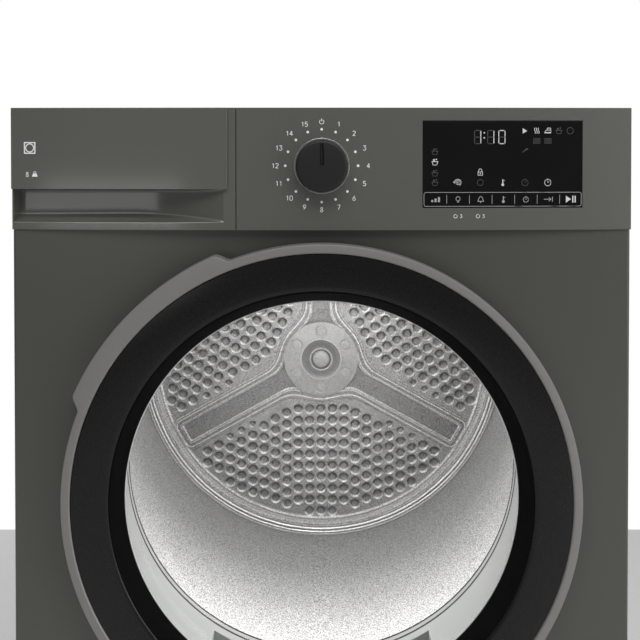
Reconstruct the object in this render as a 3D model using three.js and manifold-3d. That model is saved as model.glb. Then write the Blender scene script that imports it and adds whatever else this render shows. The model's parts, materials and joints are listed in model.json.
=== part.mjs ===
// A free-standing front-loading clothes dryer of the condensing heat-pump kind, 8 kg.
// Millimetres, +Z up, the front faces -Y, +X is the viewer's right. The origin is on the floor under the
// middle of the machine's bounding box.
import * as THREE from "three";
import { mergeVertices } from "three/addons/utils/BufferGeometryUtils.js";
import Module from "manifold-3d";

const wasm = await Module();
wasm.setup();

// ---- driving dimensions ----
const WIDTH = 597;
const HEIGHT = 846;
const DEPTH = 568; // from the door's face to the back of the air duct cover
const SHEET = 1.5; // pressed steel panels
const GAP = 0.4; // between neighbouring pieces

const HALF = WIDTH / 2;
const FACE_Y = -DEPTH / 2 + 26; // the front panel's face
const SHELL_Y = FACE_Y + 20; // where the front's returns end and the side panels begin
const REAR_Y = DEPTH / 2 - 14; // the rear panel's outer face
const FASCIA_Z = 728.8; // lower edge of the fascia and of the tank drawer's front
const FASCIA_CREST_Y = FACE_Y - 8; // the fascia bows forward in plan
const FASCIA_BOW = 7;
const SPLIT_X = -82; // joint between the tank drawer's front and the fascia
const BASE_Z = 16; // underside of the base pan
const WORKTOP_Z = 830;

const AXIS_Z = 472; // height of the drum, door and throat axis
const ROUND = 48; // segments of a large circle

const DRUM_R = 288.5;
const DRUM_FRONT_Y = -188;
const DRUM_REAR_Y = 234;
const THROAT_R = 207;
const THROAT_WALL = 6.4;
const THROAT_END_Y = -172;

const RING_R = 245.5; // bright ring round the door
const BEZEL_R = 236.4; // black glossy bezel inside it
const WINDOW_R = 189.6; // clear window inside the bezel
const HANDLE_R = 255.5; // the ring's wider stretch that makes the handle
const HANDLE_FROM = 110.4; // degrees, from +X towards +Z
const HANDLE_TO = 159.1;
const DOOR_PROUD = 26;
const HINGE_X = 230.5;
const HINGE_PROUD = 18; // the hinge pin stands this far in front of the panel
const KNUCKLE_Z = 58; // fixed knuckles, above and below the axis

const KNOB_Z = 790.5;
const KNOB_R = 24.5;

const MOTOR_X = 170;
const MOTOR_Z = 112;
const PULLEY_R = 9;
const BELT_Y = -92;

const FOOT_X = 255;
const FOOT_YS = [-205, 235];

// ---- materials ----
const finish = (color, roughness, metalness) => new THREE.MeshStandardMaterial({ color, roughness, metalness });
const GRAPHITE = finish(0x55564f, 0.45, 0.5);
const SILVER = finish(0x7d7a76, 0.35, 0.9);
const BLACK_GLOSS = finish(0x151515, 0.12, 0);
const BLACK_PLASTIC = finish(0x232323, 0.5, 0);
const STEEL = finish(0xb8b8b6, 0.35, 0.9);
const GALVANISED = finish(0x9a9c9d, 0.5, 0.8);
const GREY_PLASTIC = finish(0xa9abab, 0.6, 0);
const RUBBER = finish(0x2b2b2b, 0.9, 0);
const FELT = finish(0x8d8a80, 1, 0);
const ALUMINIUM = finish(0xc9cbcc, 0.35, 0.9);
const COPPER_RED = finish(0x8c5a3c, 0.4, 0.8);
const GLASS = new THREE.MeshStandardMaterial({ color: 0xdfe6e6, roughness: 0.05, transparent: true, opacity: 0.35 });
const TANK_PLASTIC = finish(0xd8dcdc, 0.4, 0);

// ---- solids ----
function solid(geometry) {
  const bare = geometry.clone();
  bare.deleteAttribute("normal");
  bare.deleteAttribute("uv");
  const merged = mergeVertices(bare, 1e-4);
  const vertProperties = merged.attributes.position.array;
  const triVerts = new Uint32Array(merged.index.array);
  return new wasm.Manifold(new wasm.Mesh({ numProp: 3, vertProperties, triVerts }));
}

function geometryOf(manifold) {
  const { vertProperties, triVerts } = manifold.getMesh();
  return new THREE.BufferGeometry()
    .setAttribute("position", new THREE.BufferAttribute(vertProperties, 3))
    .setIndex(new THREE.BufferAttribute(triVerts, 1));
}

const box = (x0, x1, y0, y1, z0, z1) =>
  solid(new THREE.BoxGeometry(x1 - x0, y1 - y0, z1 - z0).translate((x0 + x1) / 2, (y0 + y1) / 2, (z0 + z1) / 2));

const rodY = (x, z, radius, y0, y1, sides = 24) =>
  solid(new THREE.CylinderGeometry(radius, radius, y1 - y0, sides).translate(x, (y0 + y1) / 2, z));

const rodZ = (x, y, radius, z0, z1, sides = 24) =>
  solid(new THREE.CylinderGeometry(radius, radius, z1 - z0, sides).rotateX(Math.PI / 2).translate(x, y, (z0 + z1) / 2));

// A closed section of [radius, y] points turned about the Y axis.
function turned(section, segments = ROUND) {
  const points = section.map(([r, y]) => new THREE.Vector2(r, y));
  if (THREE.ShapeUtils.isClockWise(points)) points.reverse();
  const onAxis = points.filter((p) => p.x === 0).length === 2;
  if (onAxis) {
    while (points[0].x !== 0 || points.at(-1).x !== 0) points.push(points.shift());
  } else {
    points.push(points[0].clone());
  }
  return solid(new THREE.LatheGeometry(points, segments));
}

// An outline in plan, [x, y], raised from z0 to z1.
const raised = (outline, z0, z1) =>
  solid(new THREE.ExtrudeGeometry(asShape(outline), { depth: z1 - z0, bevelEnabled: false }).translate(0, 0, z0));

// An outline seen from the front, [x, z], reaching from y0 to y1.
const frontal = (outline, y0, y1) =>
  solid(
    new THREE.ExtrudeGeometry(asShape(outline), { depth: y1 - y0, bevelEnabled: false })
      .rotateX(Math.PI / 2)
      .translate(0, y1, 0),
  );

// A section seen from the right, [y, z], reaching from x0 to x1.
const crosswise = (outline, x0, x1) =>
  solid(
    new THREE.ExtrudeGeometry(asShape(outline), { depth: x1 - x0, bevelEnabled: false })
      .applyMatrix4(
        new THREE.Matrix4().makeBasis(
          new THREE.Vector3(0, 1, 0),
          new THREE.Vector3(0, 0, 1),
          new THREE.Vector3(1, 0, 0),
        ),
      )
      .translate(x0, 0, 0),
  );

const asShape = (outline) => new THREE.Shape(outline.map(([a, b]) => new THREE.Vector2(a, b)));

function arc(cx, cy, radius, from, to, steps) {
  return Array.from({ length: steps + 1 }, (_, i) => {
    const a = THREE.MathUtils.degToRad(from + ((to - from) * i) / steps);
    return [cx + radius * Math.cos(a), cy + radius * Math.sin(a)];
  });
}

// The taut loop round several circles of [x, z, radius]: their convex hull.
function loopRound(circles, steps = 48) {
  const points = circles.flatMap(([x, z, r]) => arc(x, z, r, 0, 360 - 360 / steps, steps - 1));
  points.sort((a, b) => a[0] - b[0] || a[1] - b[1]);
  const turn = (o, a, b) => (a[0] - o[0]) * (b[1] - o[1]) - (a[1] - o[1]) * (b[0] - o[0]);
  const chain = (list) => {
    const kept = [];
    for (const p of list) {
      while (kept.length > 1 && turn(kept.at(-2), kept.at(-1), p) <= 1e-6) kept.pop();
      kept.push(p);
    }
    return kept.slice(0, -1);
  };
  return [...chain(points), ...chain(points.toReversed())];
}

const machine = new THREE.Group();

function place(parent, name, manifold, material) {
  const mesh = new THREE.Mesh(geometryOf(manifold), material);
  mesh.name = name;
  parent.add(mesh);
}

function groupAt(x, y, z) {
  const group = new THREE.Group();
  group.position.set(x, y, z);
  machine.add(group);
  return group;
}

// ---- cabinet panels ----
// A steel panel bent in plan: a wall across the machine with a short return at each side.
function frontPanel() {
  const corner = 3;
  const outer = [
    [-HALF, SHELL_Y - GAP],
    ...arc(-HALF + corner, FACE_Y + corner, corner, 180, 270, 5),
    ...arc(HALF - corner, FACE_Y + corner, corner, 270, 360, 5),
    [HALF, SHELL_Y - GAP],
  ];
  const inner = [
    [HALF - SHEET, SHELL_Y - GAP],
    ...arc(HALF - corner, FACE_Y + corner, corner - SHEET, 360, 270, 5),
    ...arc(-HALF + corner, FACE_Y + corner, corner - SHEET, 270, 180, 5),
    [-HALF + SHEET, SHELL_Y - GAP],
  ];
  const latchSlot = box(-236, -211, FACE_Y - 5, FACE_Y + 5, AXIS_Z - 12, AXIS_Z + 12);
  return raised([...outer, ...inner], 18, FASCIA_Z - GAP)
    .subtract(rodY(0, AXIS_Z, THROAT_R + THROAT_WALL + 1, FACE_Y - 5, FACE_Y + 5, ROUND))
    .subtract(box(-271, 31, FACE_Y - 5, FACE_Y + 5, 44, 186))
    .subtract(latchSlot);
}

function sidePanel(side) {
  const flange = 10;
  const outline = [
    [HALF, SHELL_Y],
    [HALF, REAR_Y - 2],
    [HALF - flange, REAR_Y - 2],
    [HALF - flange, REAR_Y - 2 - SHEET],
    [HALF - SHEET, REAR_Y - 2 - SHEET],
    [HALF - SHEET, SHELL_Y + SHEET],
    [HALF - flange, SHELL_Y + SHEET],
    [HALF - flange, SHELL_Y],
  ].map(([x, y]) => [side * x, y]);
  return raised(outline, 18, WORKTOP_Z - GAP);
}

function topCover() {
  const y0 = SHELL_Y - 1;
  const y1 = REAR_Y - 2;
  return box(-HALF, HALF, y0, y1, WORKTOP_Z, HEIGHT).subtract(
    box(-HALF + 3, HALF - 3, y0 + 3, y1 - 3, WORKTOP_Z - 5, HEIGHT - 3),
  );
}

const ductCircles = (inset) => [
  [0, AXIS_Z, 232 - inset],
  [MOTOR_X, MOTOR_Z + 8, 88 - inset],
];

function rearPanel() {
  const sheet = box(-HALF, HALF, REAR_Y - SHEET, REAR_Y, 18, WORKTOP_Z - GAP);
  const duct = frontal(loopRound(ductCircles(6)), REAR_Y - 5, REAR_Y + 5);
  const slots = Array.from({ length: 9 }, (_, i) => {
    const z = 60 + i * 14;
    return box(-210, -110, REAR_Y - 5, REAR_Y + 5, z, z + 6);
  });
  const inlet = box(-262, -222, REAR_Y - 5, REAR_Y + 5, 724, 756);
  return [...slots, inlet].reduce((left, cut) => left.subtract(cut), sheet.subtract(duct));
}

// The pear-shaped pressed cover of the air duct that runs from the fan up to the back of the drum.
function rearDuctCover() {
  const back = DEPTH / 2;
  const flange = frontal(loopRound(ductCircles(-8)), REAR_Y + GAP, REAR_Y + GAP + SHEET);
  const bulge = frontal(loopRound(ductCircles(0)), REAR_Y + GAP, back);
  const hollow = frontal(loopRound(ductCircles(SHEET)), REAR_Y - 5, back - SHEET);
  return flange.add(bulge).subtract(hollow);
}

function basePan() {
  const wall = 4;
  const y0 = SHELL_Y + 2.4;
  const y1 = REAR_Y - 4;
  const x = HALF - 2.1;
  const tray = box(-x, x, y0, y1, BASE_Z, 62).subtract(
    box(-x + wall, x - wall, y0 + wall, y1 - wall, BASE_Z + 4, 90),
  );
  const feet = FOOT_YS.flatMap((y) => [-FOOT_X, FOOT_X].map((fx) => [fx, y]));
  const bossed = feet.reduce((pan, [fx, fy]) => pan.add(rodZ(fx, fy, 14, BASE_Z + 2, 42, 16)), tray);
  return feet.reduce((pan, [fx, fy]) => pan.subtract(rodZ(fx, fy, 5.6, BASE_Z - 5, 38, 12)), bossed);
}

function foot() {
  return rodZ(0, 0, 19, 0, 10, 20).add(rodZ(0, 0, 5, 8, 30, 12));
}

// ---- fascia, display, knob ----
const fasciaY = (x) => FASCIA_CREST_Y + FASCIA_BOW * (x / HALF) ** 2;

// A slab in plan whose front and back both follow the fascia's bow: front and back are offsets behind it.
function bowedSlab(x0, x1, front, back) {
  const steps = Math.max(4, Math.round((x1 - x0) / 30));
  const xs = Array.from({ length: steps + 1 }, (_, i) => x0 + ((x1 - x0) * i) / steps);
  return [...xs.map((x) => [x, fasciaY(x) + front]), ...xs.toReversed().map((x) => [x, fasciaY(x) + back])];
}

// The same bowed front with a straight back.
function bowedBlock(x0, x1, front, backY) {
  const slab = bowedSlab(x0, x1, front, 0);
  return [...slab.slice(0, slab.length / 2), [x1, backY], [x0, backY]];
}

const DISPLAY = { x0: 96.7, x1: 250.6, z0: 750.3, z1: 833.6 };

function controlFascia() {
  const wall = 4;
  const x0 = SPLIT_X + GAP;
  const block = raised(bowedBlock(x0, HALF, 0, SHELL_Y - 1 - GAP), FASCIA_Z, HEIGHT);
  const hollow = raised(
    bowedBlock(x0 + wall, HALF - wall, wall, SHELL_Y + 5),
    FASCIA_Z + wall,
    HEIGHT - wall,
  );
  const pocket = raised(
    bowedSlab(DISPLAY.x0 - 0.3, DISPLAY.x1 + 0.3, -5, 2.3),
    DISPLAY.z0 - 0.3,
    DISPLAY.z1 + 0.3,
  );
  return block.subtract(hollow).subtract(pocket).subtract(rodY(0, KNOB_Z, 5.5, -300, -200));
}

const displayGlass = () => raised(bowedSlab(DISPLAY.x0, DISPLAY.x1, 0, 2), DISPLAY.z0, DISPLAY.z1);

function knobCap() {
  const front = -17.5;
  const cap = turned([
    [0, -0.8],
    [KNOB_R, -0.8],
    [KNOB_R, front + 2.5],
    [KNOB_R - 2.2, front],
    [0, front],
  ], 36);
  const stem = rodY(0, 0, 4, -1, 14, 12);
  const pointer = box(-0.9, 0.9, front - 1, front + 0.9, 2, KNOB_R - 1.5);
  return cap.add(stem).subtract(pointer);
}

const knobRing = () =>
  turned([[KNOB_R + GAP, -1], [KNOB_R + 1.9, -1], [KNOB_R + 1.9, -4.4], [KNOB_R + GAP, -5]], 36);

// Circuit board behind the fascia, with the knob's rotary encoder and the display module on its face.
const controlBoard = () =>
  box(-30, 256, -248, -244, 744, 836)
    .add(box(-14, 14, -261, -247, KNOB_Z - 14, KNOB_Z + 14))
    .add(box(94, 254, -255.5, -247, 746, 834))
    .subtract(rodY(0, KNOB_Z, 4.6, -300, -246, 12));

// ---- condensate tank drawer ----
function drawerFront() {
  const x1 = SPLIT_X - GAP;
  const plateX = -90;
  const plateZ = 768;
  const lipZ = 737.2;
  const backY = SHELL_Y - 2;
  const body = raised(bowedBlock(-HALF, x1, 0, backY), FASCIA_Z, HEIGHT);
  const plate = raised(bowedSlab(-HALF, plateX, -3, 1), plateZ, HEIGHT);
  const recess = box(-HALF - 5, -96, -290, FACE_Y, lipZ, plateZ);
  const fingerRoom = crosswise(
    [
      [FACE_Y - 1, lipZ],
      ...arc(-250.5, lipZ + 7, 7, 270, 360, 4),
      [-243.5, 790],
      [-257, 790],
      [-257, plateZ],
      [FACE_Y - 1, plateZ],
    ],
    -HALF + 9,
    -96,
  );
  return body.subtract(recess).subtract(fingerRoom).add(plate);
}

const TANK = { x0: -284, x1: -100, y0: SHELL_Y - 1.5, y1: 150, z0: 760, z1: 818 };

function waterTank() {
  const { x0, x1, y0, y1, z0, z1 } = TANK;
  const wall = 2.5;
  return box(x0, x1, y0, y1, z0, z1).subtract(box(x0 + wall, x1 - wall, y0 + wall, y1 - wall, z0 + wall, z1 + 5));
}

function tankLid() {
  const { x0, x1, y0, y1, z1 } = TANK;
  return box(x0, x1, y0, y1, z1 + GAP, z1 + 3).subtract(rodZ(-190, 120, 12, z1 - 5, z1 + 10, 16));
}

function tankGuide() {
  const { x0, x1, y1, z0 } = TANK;
  const rail = 2;
  const tray = box(x0 - 3, x1 + 5, SHELL_Y + 2, y1 + 12, z0 - 6, z0 + 8);
  return tray.subtract(box(x0 - 3 + rail, x1 + 5 - rail, SHELL_Y, y1 + 8, z0 - 3.6, z0 + 20));
}

// ---- door: modelled about the drum's axis, with y measured from the front panel's face ----
const polar = (radius, degrees) => arc(0, 0, radius, degrees, degrees, 1)[0];

function ringOutline() {
  const shoulder = 3.1; // degrees over which the handle rises out of the ring
  const around = HANDLE_TO - HANDLE_FROM;
  return [
    ...arc(0, 0, RING_R, HANDLE_TO, HANDLE_FROM + 360, 70),
    ...arc(0, 0, HANDLE_R, HANDLE_FROM + shoulder, HANDLE_FROM + around - shoulder, 14),
  ];
}

// Room behind the door's face for the hinge, whose fixed half swings through it as the door opens.
const hingeRoom = () => box(216.5, 262, -DOOR_PROUD + 3.3, 5, -KNUCKLE_Z - 8.5, KNUCKLE_Z + 8.5);

function doorRing() {
  return frontal(ringOutline(), -DOOR_PROUD, -12)
    .subtract(rodY(0, 0, BEZEL_R + GAP, -40, 10, ROUND))
    .subtract(hingeRoom());
}

function doorBezel() {
  return turned([
    [BEZEL_R, -10],
    [BEZEL_R, -DOOR_PROUD + 0.8],
    [203, -DOOR_PROUD + 0.4],
    [200.5, -DOOR_PROUD + 1.4],
    [WINDOW_R, -8],
    [WINDOW_R + 2, -6.4],
    [203, -DOOR_PROUD + 4],
    [BEZEL_R - 2.2, -DOOR_PROUD + 3.2],
    [BEZEL_R - 2.2, -10],
  ]).subtract(hingeRoom());
}

// The clear bowl that keeps laundry off the door. Its flange is clamped behind the bezel.
function doorGlass() {
  const wall = 4;
  const outer = [[198, -3], [187, -3], [181, 2], [171, 18], [150, 29], [0, 33]];
  const inner = [[0, 33 - wall], [148.5, 29 - wall], [167.5, 15.5], [177.5, 0], [184, -6.1], [198, -6.1]];
  return turned([...outer, ...inner]);
}

function doorFrame() {
  return turned([
    [198.4, -2.6],
    [198.4, -13],
    [231.5, -21],
    [231.8, -10],
    [222, -4.4],
    [216.5, -4.4],
    [216.5, -6.4],
    [206, -6.4],
    [206, -0.8],
    [192, -0.8],
    [192, -2.6],
  ])
    .subtract(hingeRoom())
    .subtract(box(200.5, 240, -13, -9.5, -44.5, 44.5));
}

const doorGasket = () => turned([[206.5, -0.4], [206.5, -6], [216, -6], [216, -0.4]]);

function doorLatch() {
  return box(-229, -219.5, -4, 15, -9, 9).subtract(box(-240, -222.5, 7, 12, -10, 10));
}

// Leaf screwed to the door, with the pin that turns in the two fixed knuckles.
function doorHingeLeaf() {
  const pin = rodZ(HINGE_X, -HINGE_PROUD, 2.6, -KNUCKLE_Z - 8, KNUCKLE_Z + 8, 12);
  const barrel = rodZ(HINGE_X, -HINGE_PROUD, 4.2, -42, 42, 16);
  return pin.add(barrel).add(box(202, 226, -12.4, -10, -42, 42)).add(box(222, HINGE_X + 0.2, -19, -10, -42, 42));
}

// Fixed half of the hinge, screwed to the front panel.
function hingeBracket() {
  const z0 = AXIS_Z - KNUCKLE_Z;
  const z1 = AXIS_Z + KNUCKLE_Z;
  const pinY = FACE_Y - HINGE_PROUD;
  const plate = box(HINGE_X - 10.5, HINGE_X - 1, FACE_Y - 2.4, FACE_Y - 0.4, z0 - 12, z1 + 12);
  const foot = FACE_Y - 2;
  const web = [[HINGE_X - 9, foot], [HINGE_X - 1.2, foot], [HINGE_X + 2.5, pinY + 2], [HINGE_X - 2, pinY]];
  const knuckle = (z) =>
    rodZ(HINGE_X, pinY, 4.6, z - 6, z + 6, 16)
      .add(raised(web, z - 6, z + 6))
      .subtract(rodZ(HINGE_X, pinY, 3.1, z - 10, z + 10, 12));
  return plate.add(knuckle(z0)).add(knuckle(z1));
}

function doorCatch() {
  return box(-236, -214.4, FACE_Y + 2, FACE_Y + 24, AXIS_Z - 16, AXIS_Z + 16).subtract(
    box(-232.5, -216, FACE_Y - 2, FACE_Y + 19, AXIS_Z - 11.5, AXIS_Z + 11.5),
  );
}

// ---- drum and its supports, about the drum's axis ----
function drumShell() {
  const wall = 1.5;
  return turned([
    [222, DRUM_FRONT_Y],
    [222 + wall, DRUM_FRONT_Y],
    [222 + wall, -178],
    [279, -170],
    [DRUM_R, -160],
    [DRUM_R, DRUM_REAR_Y],
    [DRUM_R - wall, DRUM_REAR_Y],
    [DRUM_R - wall, -159.4],
    [278.3, -168.6],
    [222, -176.5],
  ]);
}

const DRUM_BACK_Y = 214; // at the hub: the wall is dished forward

function drumBack() {
  const wall = 1.5;
  return turned([
    [0, DRUM_BACK_Y],
    [62, DRUM_BACK_Y],
    [262, 224],
    [272, 229],
    [DRUM_R - 2, 229],
    [DRUM_R - 2, 229 + wall],
    [271.6, 229 + wall],
    [261.6, 224 + wall],
    [62, DRUM_BACK_Y + wall],
    [0, DRUM_BACK_Y + wall],
  ]);
}

const drumShaft = () =>
  turned([[0, 216.2], [58, 216.2], [58, 219.4], [16, 222], [10, 226], [10, 258], [0, 258]], 32);

// A moulded lifter that carries the laundry up the drum's side.
function lifter(side) {
  const base = DRUM_R - 5.2;
  const outline = [
    [side * base, -36],
    ...arc(side * (base - 38), 0, 10, side > 0 ? 250 : 290, side > 0 ? 110 : 430, 6),
    [side * base, 36],
  ];
  return frontal(outline, -130, 110);
}

// The moulding that carries the drum's front: throat, mounting plate, lint filter chute, roller bosses.
const ROLLER_X = 156.6;
const ROLLER_DROP = 271.3;
const ROLLER_R = 24;

function drumBulkhead() {
  const face = FACE_Y + 1.8;
  const throatOuter = THROAT_R + THROAT_WALL;
  const throat = turned([
    [THROAT_R, face],
    [throatOuter, face],
    [throatOuter, THROAT_END_Y],
    [THROAT_R, THROAT_END_Y],
  ]).translate([0, 0, AXIS_Z]);
  const bore = rodY(0, AXIS_Z, THROAT_R + 3, -300, -100, ROUND);
  const plate = box(-286, 286, FACE_Y + 4, FACE_Y + 7, 187, 715).subtract(bore);
  const chute = box(-118, 118, -223.5, -190.5, 172, 300).subtract(bore);
  const slot = box(-113, 113, -219.5, -194.5, 100, 330);
  const latchRoom = box(-238, -214, -256, -245, AXIS_Z - 18, AXIS_Z + 18);
  const arms = [-ROLLER_X, ROLLER_X].map((x) =>
    rodY(x, AXIS_Z - ROLLER_DROP, 12, FACE_Y + 5, -162, 16).add(
      rodY(x, AXIS_Z - ROLLER_DROP, 4, -170, -134, 12),
    ),
  );
  return throat.add(plate).add(chute).add(arms[0]).add(arms[1]).subtract(slot).subtract(latchRoom);
}

const roller = () => rodY(0, 0, ROLLER_R, -158, -138, 32).subtract(rodY(0, 0, 4.4, -200, -100, 12));

const frontSeal = () =>
  turned([
    [THROAT_R + THROAT_WALL + GAP, -186],
    [221.5, -186],
    [221.5, -175],
    [THROAT_R + THROAT_WALL + GAP, -175],
  ]);

function lintFilter() {
  const shell = box(-110.5, 110.5, -218, -196, 180, 262);
  const pocket = box(-107.5, 107.5, -215.5, -198.5, 184, 262 + 5);
  const grip = box(-30, 30, -210, -204, 244, 258).add(box(-30, -27, -217, -197, 244, 258)).add(box(27, 30, -217, -197, 244, 258));
  return shell.subtract(pocket).add(grip);
}

const drumLamp = () => box(-20, 20, -244, -224, THROAT_R - 4.6, THROAT_R - 1.5);

function rearBulkhead() {
  const plate = box(-286, 286, 240, 242.5, 190, 762);
  const holes = Array.from({ length: 6 }, (_, i) => polar(150, 30 + i * 60));
  return holes.reduce(
    (left, [x, z]) => left.subtract(rodY(x, AXIS_Z + z, 38, 200, 300, 20)),
    plate.subtract(rodY(0, AXIS_Z, 24.4, 200, 300)),
  );
}

const drumBearing = () => turned([[10.5, 236], [24, 236], [24, 248], [10.5, 248]], 32);

const rearSeal = () => turned([[268, 234.6], [282, 234.6], [282, 239.6], [268, 239.6]]);

// ---- drive: motor, belt, tensioner, fan ----
const IDLER = { x: 96, z: 150, r: 16 };
const PIVOT = { x: 30, z: 160 }; // of the tensioner's arm

function driveBelt() {
  const thick = 2.6;
  const clear = 0.9;
  const circles = (extra) => [
    [0, AXIS_Z, DRUM_R + extra],
    [MOTOR_X, MOTOR_Z, PULLEY_R + extra],
    [IDLER.x, IDLER.z, IDLER.r + extra],
  ];
  const outer = frontal(loopRound(circles(clear + thick)), BELT_Y - 5, BELT_Y + 5);
  return outer.subtract(frontal(loopRound(circles(clear)), BELT_Y - 20, BELT_Y + 20));
}

function driveMotor() {
  const can = rodY(MOTOR_X, MOTOR_Z, 52, -70, 56, 32).subtract(rodY(MOTOR_X, MOTOR_Z, 6.6, -100, 100, 16));
  const saddle = box(MOTOR_X - 46, MOTOR_X + 46, -50, 36, 20.4, 66);
  const bore = rodY(MOTOR_X, MOTOR_Z, 50, -90, 90, 32);
  return can.add(saddle.subtract(bore));
}

// Motor shaft with the belt pulley in front.
function motorShaft() {
  const shaft = rodY(0, 0, 6, BELT_Y - 8, 150, 16);
  const pulley = rodY(0, 0, PULLEY_R, BELT_Y - 6, BELT_Y + 6);
  const rims = [BELT_Y - 8, BELT_Y + 6].map((y) => rodY(0, 0, PULLEY_R + 4, y, y + 2));
  return shaft.add(pulley).add(rims[0]).add(rims[1]);
}

function fanImpeller() {
  const blades = 9;
  const disc = rodY(0, 0, 66, 112, 114, 32).add(rodY(0, 0, 14, 112, 138, 16));
  const one = box(30, 66, 113, 138, -1, 1);
  return Array.from({ length: blades }, (_, i) => one.rotate([0, (i * 360) / blades, 0]))
    .reduce((wheel, blade) => wheel.add(blade), disc)
    .subtract(rodY(0, 0, 6.4, 100, 200, 16));
}

function fanHousing() {
  const shell = rodY(MOTOR_X, MOTOR_Z, 80, 100, 158, 40).add(box(MOTOR_X - 60, MOTOR_X + 60, 100, 158, 130, 205));
  const hollow = rodY(MOTOR_X, MOTOR_Z, 76, 104, 154, 40).add(
    box(MOTOR_X - 56, MOTOR_X + 56, 104, 154, 150, 201),
  );
  const inlet = rodY(MOTOR_X, MOTOR_Z, 30, 90, 110, 24);
  const outlet = box(MOTOR_X - 50, MOTOR_X + 50, 140, 236, 156, 195);
  const spout = box(MOTOR_X - 54, MOTOR_X + 54, 150, 238, 152, 199);
  return shell.add(spout).subtract(hollow).subtract(inlet).subtract(outlet).subtract(box(100, 240, 230, 245, 156, 195));
}

function idlerArm() {
  const lean = THREE.MathUtils.radToDeg(Math.atan2(IDLER.z - PIVOT.z, IDLER.x - PIVOT.x));
  const length = Math.hypot(IDLER.z - PIVOT.z, IDLER.x - PIVOT.x);
  const strap = box(0, length, -2, 2, -7, 7).rotate([0, -lean, 0]).translate([PIVOT.x, BELT_Y + 12, PIVOT.z]);
  const pin = rodY(IDLER.x, IDLER.z, 4, BELT_Y - 9, BELT_Y + 14, 12);
  const hub = rodY(PIVOT.x, PIVOT.z, 9, BELT_Y + 8, BELT_Y + 16, 16);
  return strap.add(pin).add(hub).subtract(rodY(PIVOT.x, PIVOT.z, 4.5, BELT_Y - 20, BELT_Y + 30, 12));
}

const idlerWheel = () =>
  rodY(0, 0, IDLER.r, BELT_Y - 8, BELT_Y + 8).subtract(rodY(0, 0, 4.4, BELT_Y - 20, BELT_Y + 20, 12));

// Bracket on the base that carries the tensioner's pivot pin.
function tensionerBracket() {
  const { x, z } = PIVOT;
  const post = box(x - 12, x + 12, BELT_Y + 17, BELT_Y + 20, 20.4, z + 12);
  const sole = box(x - 12, x + 12, BELT_Y + 17, BELT_Y + 40, 20.4, 24);
  return post.add(sole).add(rodY(x, z, 4, BELT_Y + 4, BELT_Y + 18, 12));
}

// ---- heat pump ----
const compressor = () => {
  const can = solid(new THREE.CapsuleGeometry(50, 60, 4, 24).rotateX(Math.PI / 2).translate(36, 92, 100));
  return can.intersect(box(-60, 140, 0, 200, 30, 166)).add(rodZ(36, 92, 52, 20.4, 32, 24));
};

// A finned coil: a core block with proud fins across it.
function finnedCoil(y0, y1) {
  const x0 = -272;
  const x1 = -18;
  const core = box(x0, x1, y0 + 3, y1 - 3, 24, 148);
  const fins = Array.from({ length: 9 }, (_, i) => {
    const x = x0 + 12 + i * ((x1 - x0 - 28) / 8);
    return box(x, x + 4, y0, y1, 21, 152);
  });
  return fins.reduce((coil, fin) => coil.add(fin), core);
}

const condensatePump = () => box(-96, -46, 176, 226, 20.4, 74).add(rodZ(-71, 201, 18, 70, 92, 20)).add(rodZ(-71, 201, 4.4, 90, 108, 10));

// Hose that lifts the condensate from the pump to the tank's inlet.
function tankFillHose() {
  const route = new THREE.CatmullRomCurve3(
    [
      [-71, 201, 109],
      [-72, 206, 130],
      [-110, 234, 148],
      [-220, 252, 158],
      [-272, 255, 186],
      [-281, 256, 250],
      [-281, 256, 680],
      [-280, 250, 785],
      [-262, 205, 824],
      [-206, 134, 828],
      [-190, 120, 822],
    ].map(([x, y, z]) => new THREE.Vector3(x, y, z)),
  );
  const section = asShape(arc(0, 0, 4, 0, 300, 5));
  return solid(new THREE.ExtrudeGeometry(section, { steps: 40, extrudePath: route }));
}

// ---- lower front: service flap and the heat exchanger's cover ----
const FLAP = { x0: -270, x1: 30, z0: 46, z1: 185 };
const FLAP_PIN = { y: 6, z: 6 }; // from the panel's face and the flap's lower edge

function lowerFlap() {
  const { x0, x1, z0, z1 } = FLAP;
  const skin = box(x0, x1, FACE_Y, FACE_Y + 2.5, z0, z1);
  const rim = box(x0 + 6, x1 - 6, FACE_Y + 2, FACE_Y + 8, z0 + 14, z1 - 4).subtract(
    box(x0 + 9, x1 - 9, FACE_Y + 1, FACE_Y + 20, z0 + 17, z1 - 7),
  );
  const ears = [x0 + 8, x1 - 16].map((x) =>
    rodXAt(x, x + 8, FACE_Y + FLAP_PIN.y, z0 + FLAP_PIN.z, 4.5)
      .add(box(x, x + 8, FACE_Y + 2, FACE_Y + FLAP_PIN.y, z0 + 2, z0 + 20)),
  );
  const bore = rodXAt(x0 - 10, x1 + 10, FACE_Y + FLAP_PIN.y, z0 + FLAP_PIN.z, 2.4);
  return skin.add(rim).add(ears[0]).add(ears[1]).subtract(bore.intersect(box(x0 - 20, x1 + 20, FACE_Y + 3, 0, 0, 100)));
}

const rodXAt = (x0, x1, y, z, radius, sides = 12) =>
  solid(new THREE.CylinderGeometry(radius, radius, x1 - x0, sides).rotateZ(Math.PI / 2).translate((x0 + x1) / 2, y, z));

// The long pin that the flap turns on, held by two brackets that stand on the base pan.
function flapHingePin() {
  const { x0, x1, z0 } = FLAP;
  const y = FACE_Y + FLAP_PIN.y;
  const z = z0 + FLAP_PIN.z;
  const pin = rodXAt(x0 + 6, x1 - 6, y, z, 2);
  const stands = [x0 + 22, x1 - 28].map((x) => box(x, x + 6, y - 1, SHELL_Y + 2, z - 3, z + 3));
  return pin.add(stands[0]).add(stands[1]);
}

function exchangerCover() {
  const plate = box(-264, 24, SHELL_Y - 4, SHELL_Y - 1, 66, 180);
  const handle = box(-150, -90, SHELL_Y - 9, SHELL_Y - 3, 118, 128);
  return plate.add(handle);
}

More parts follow.
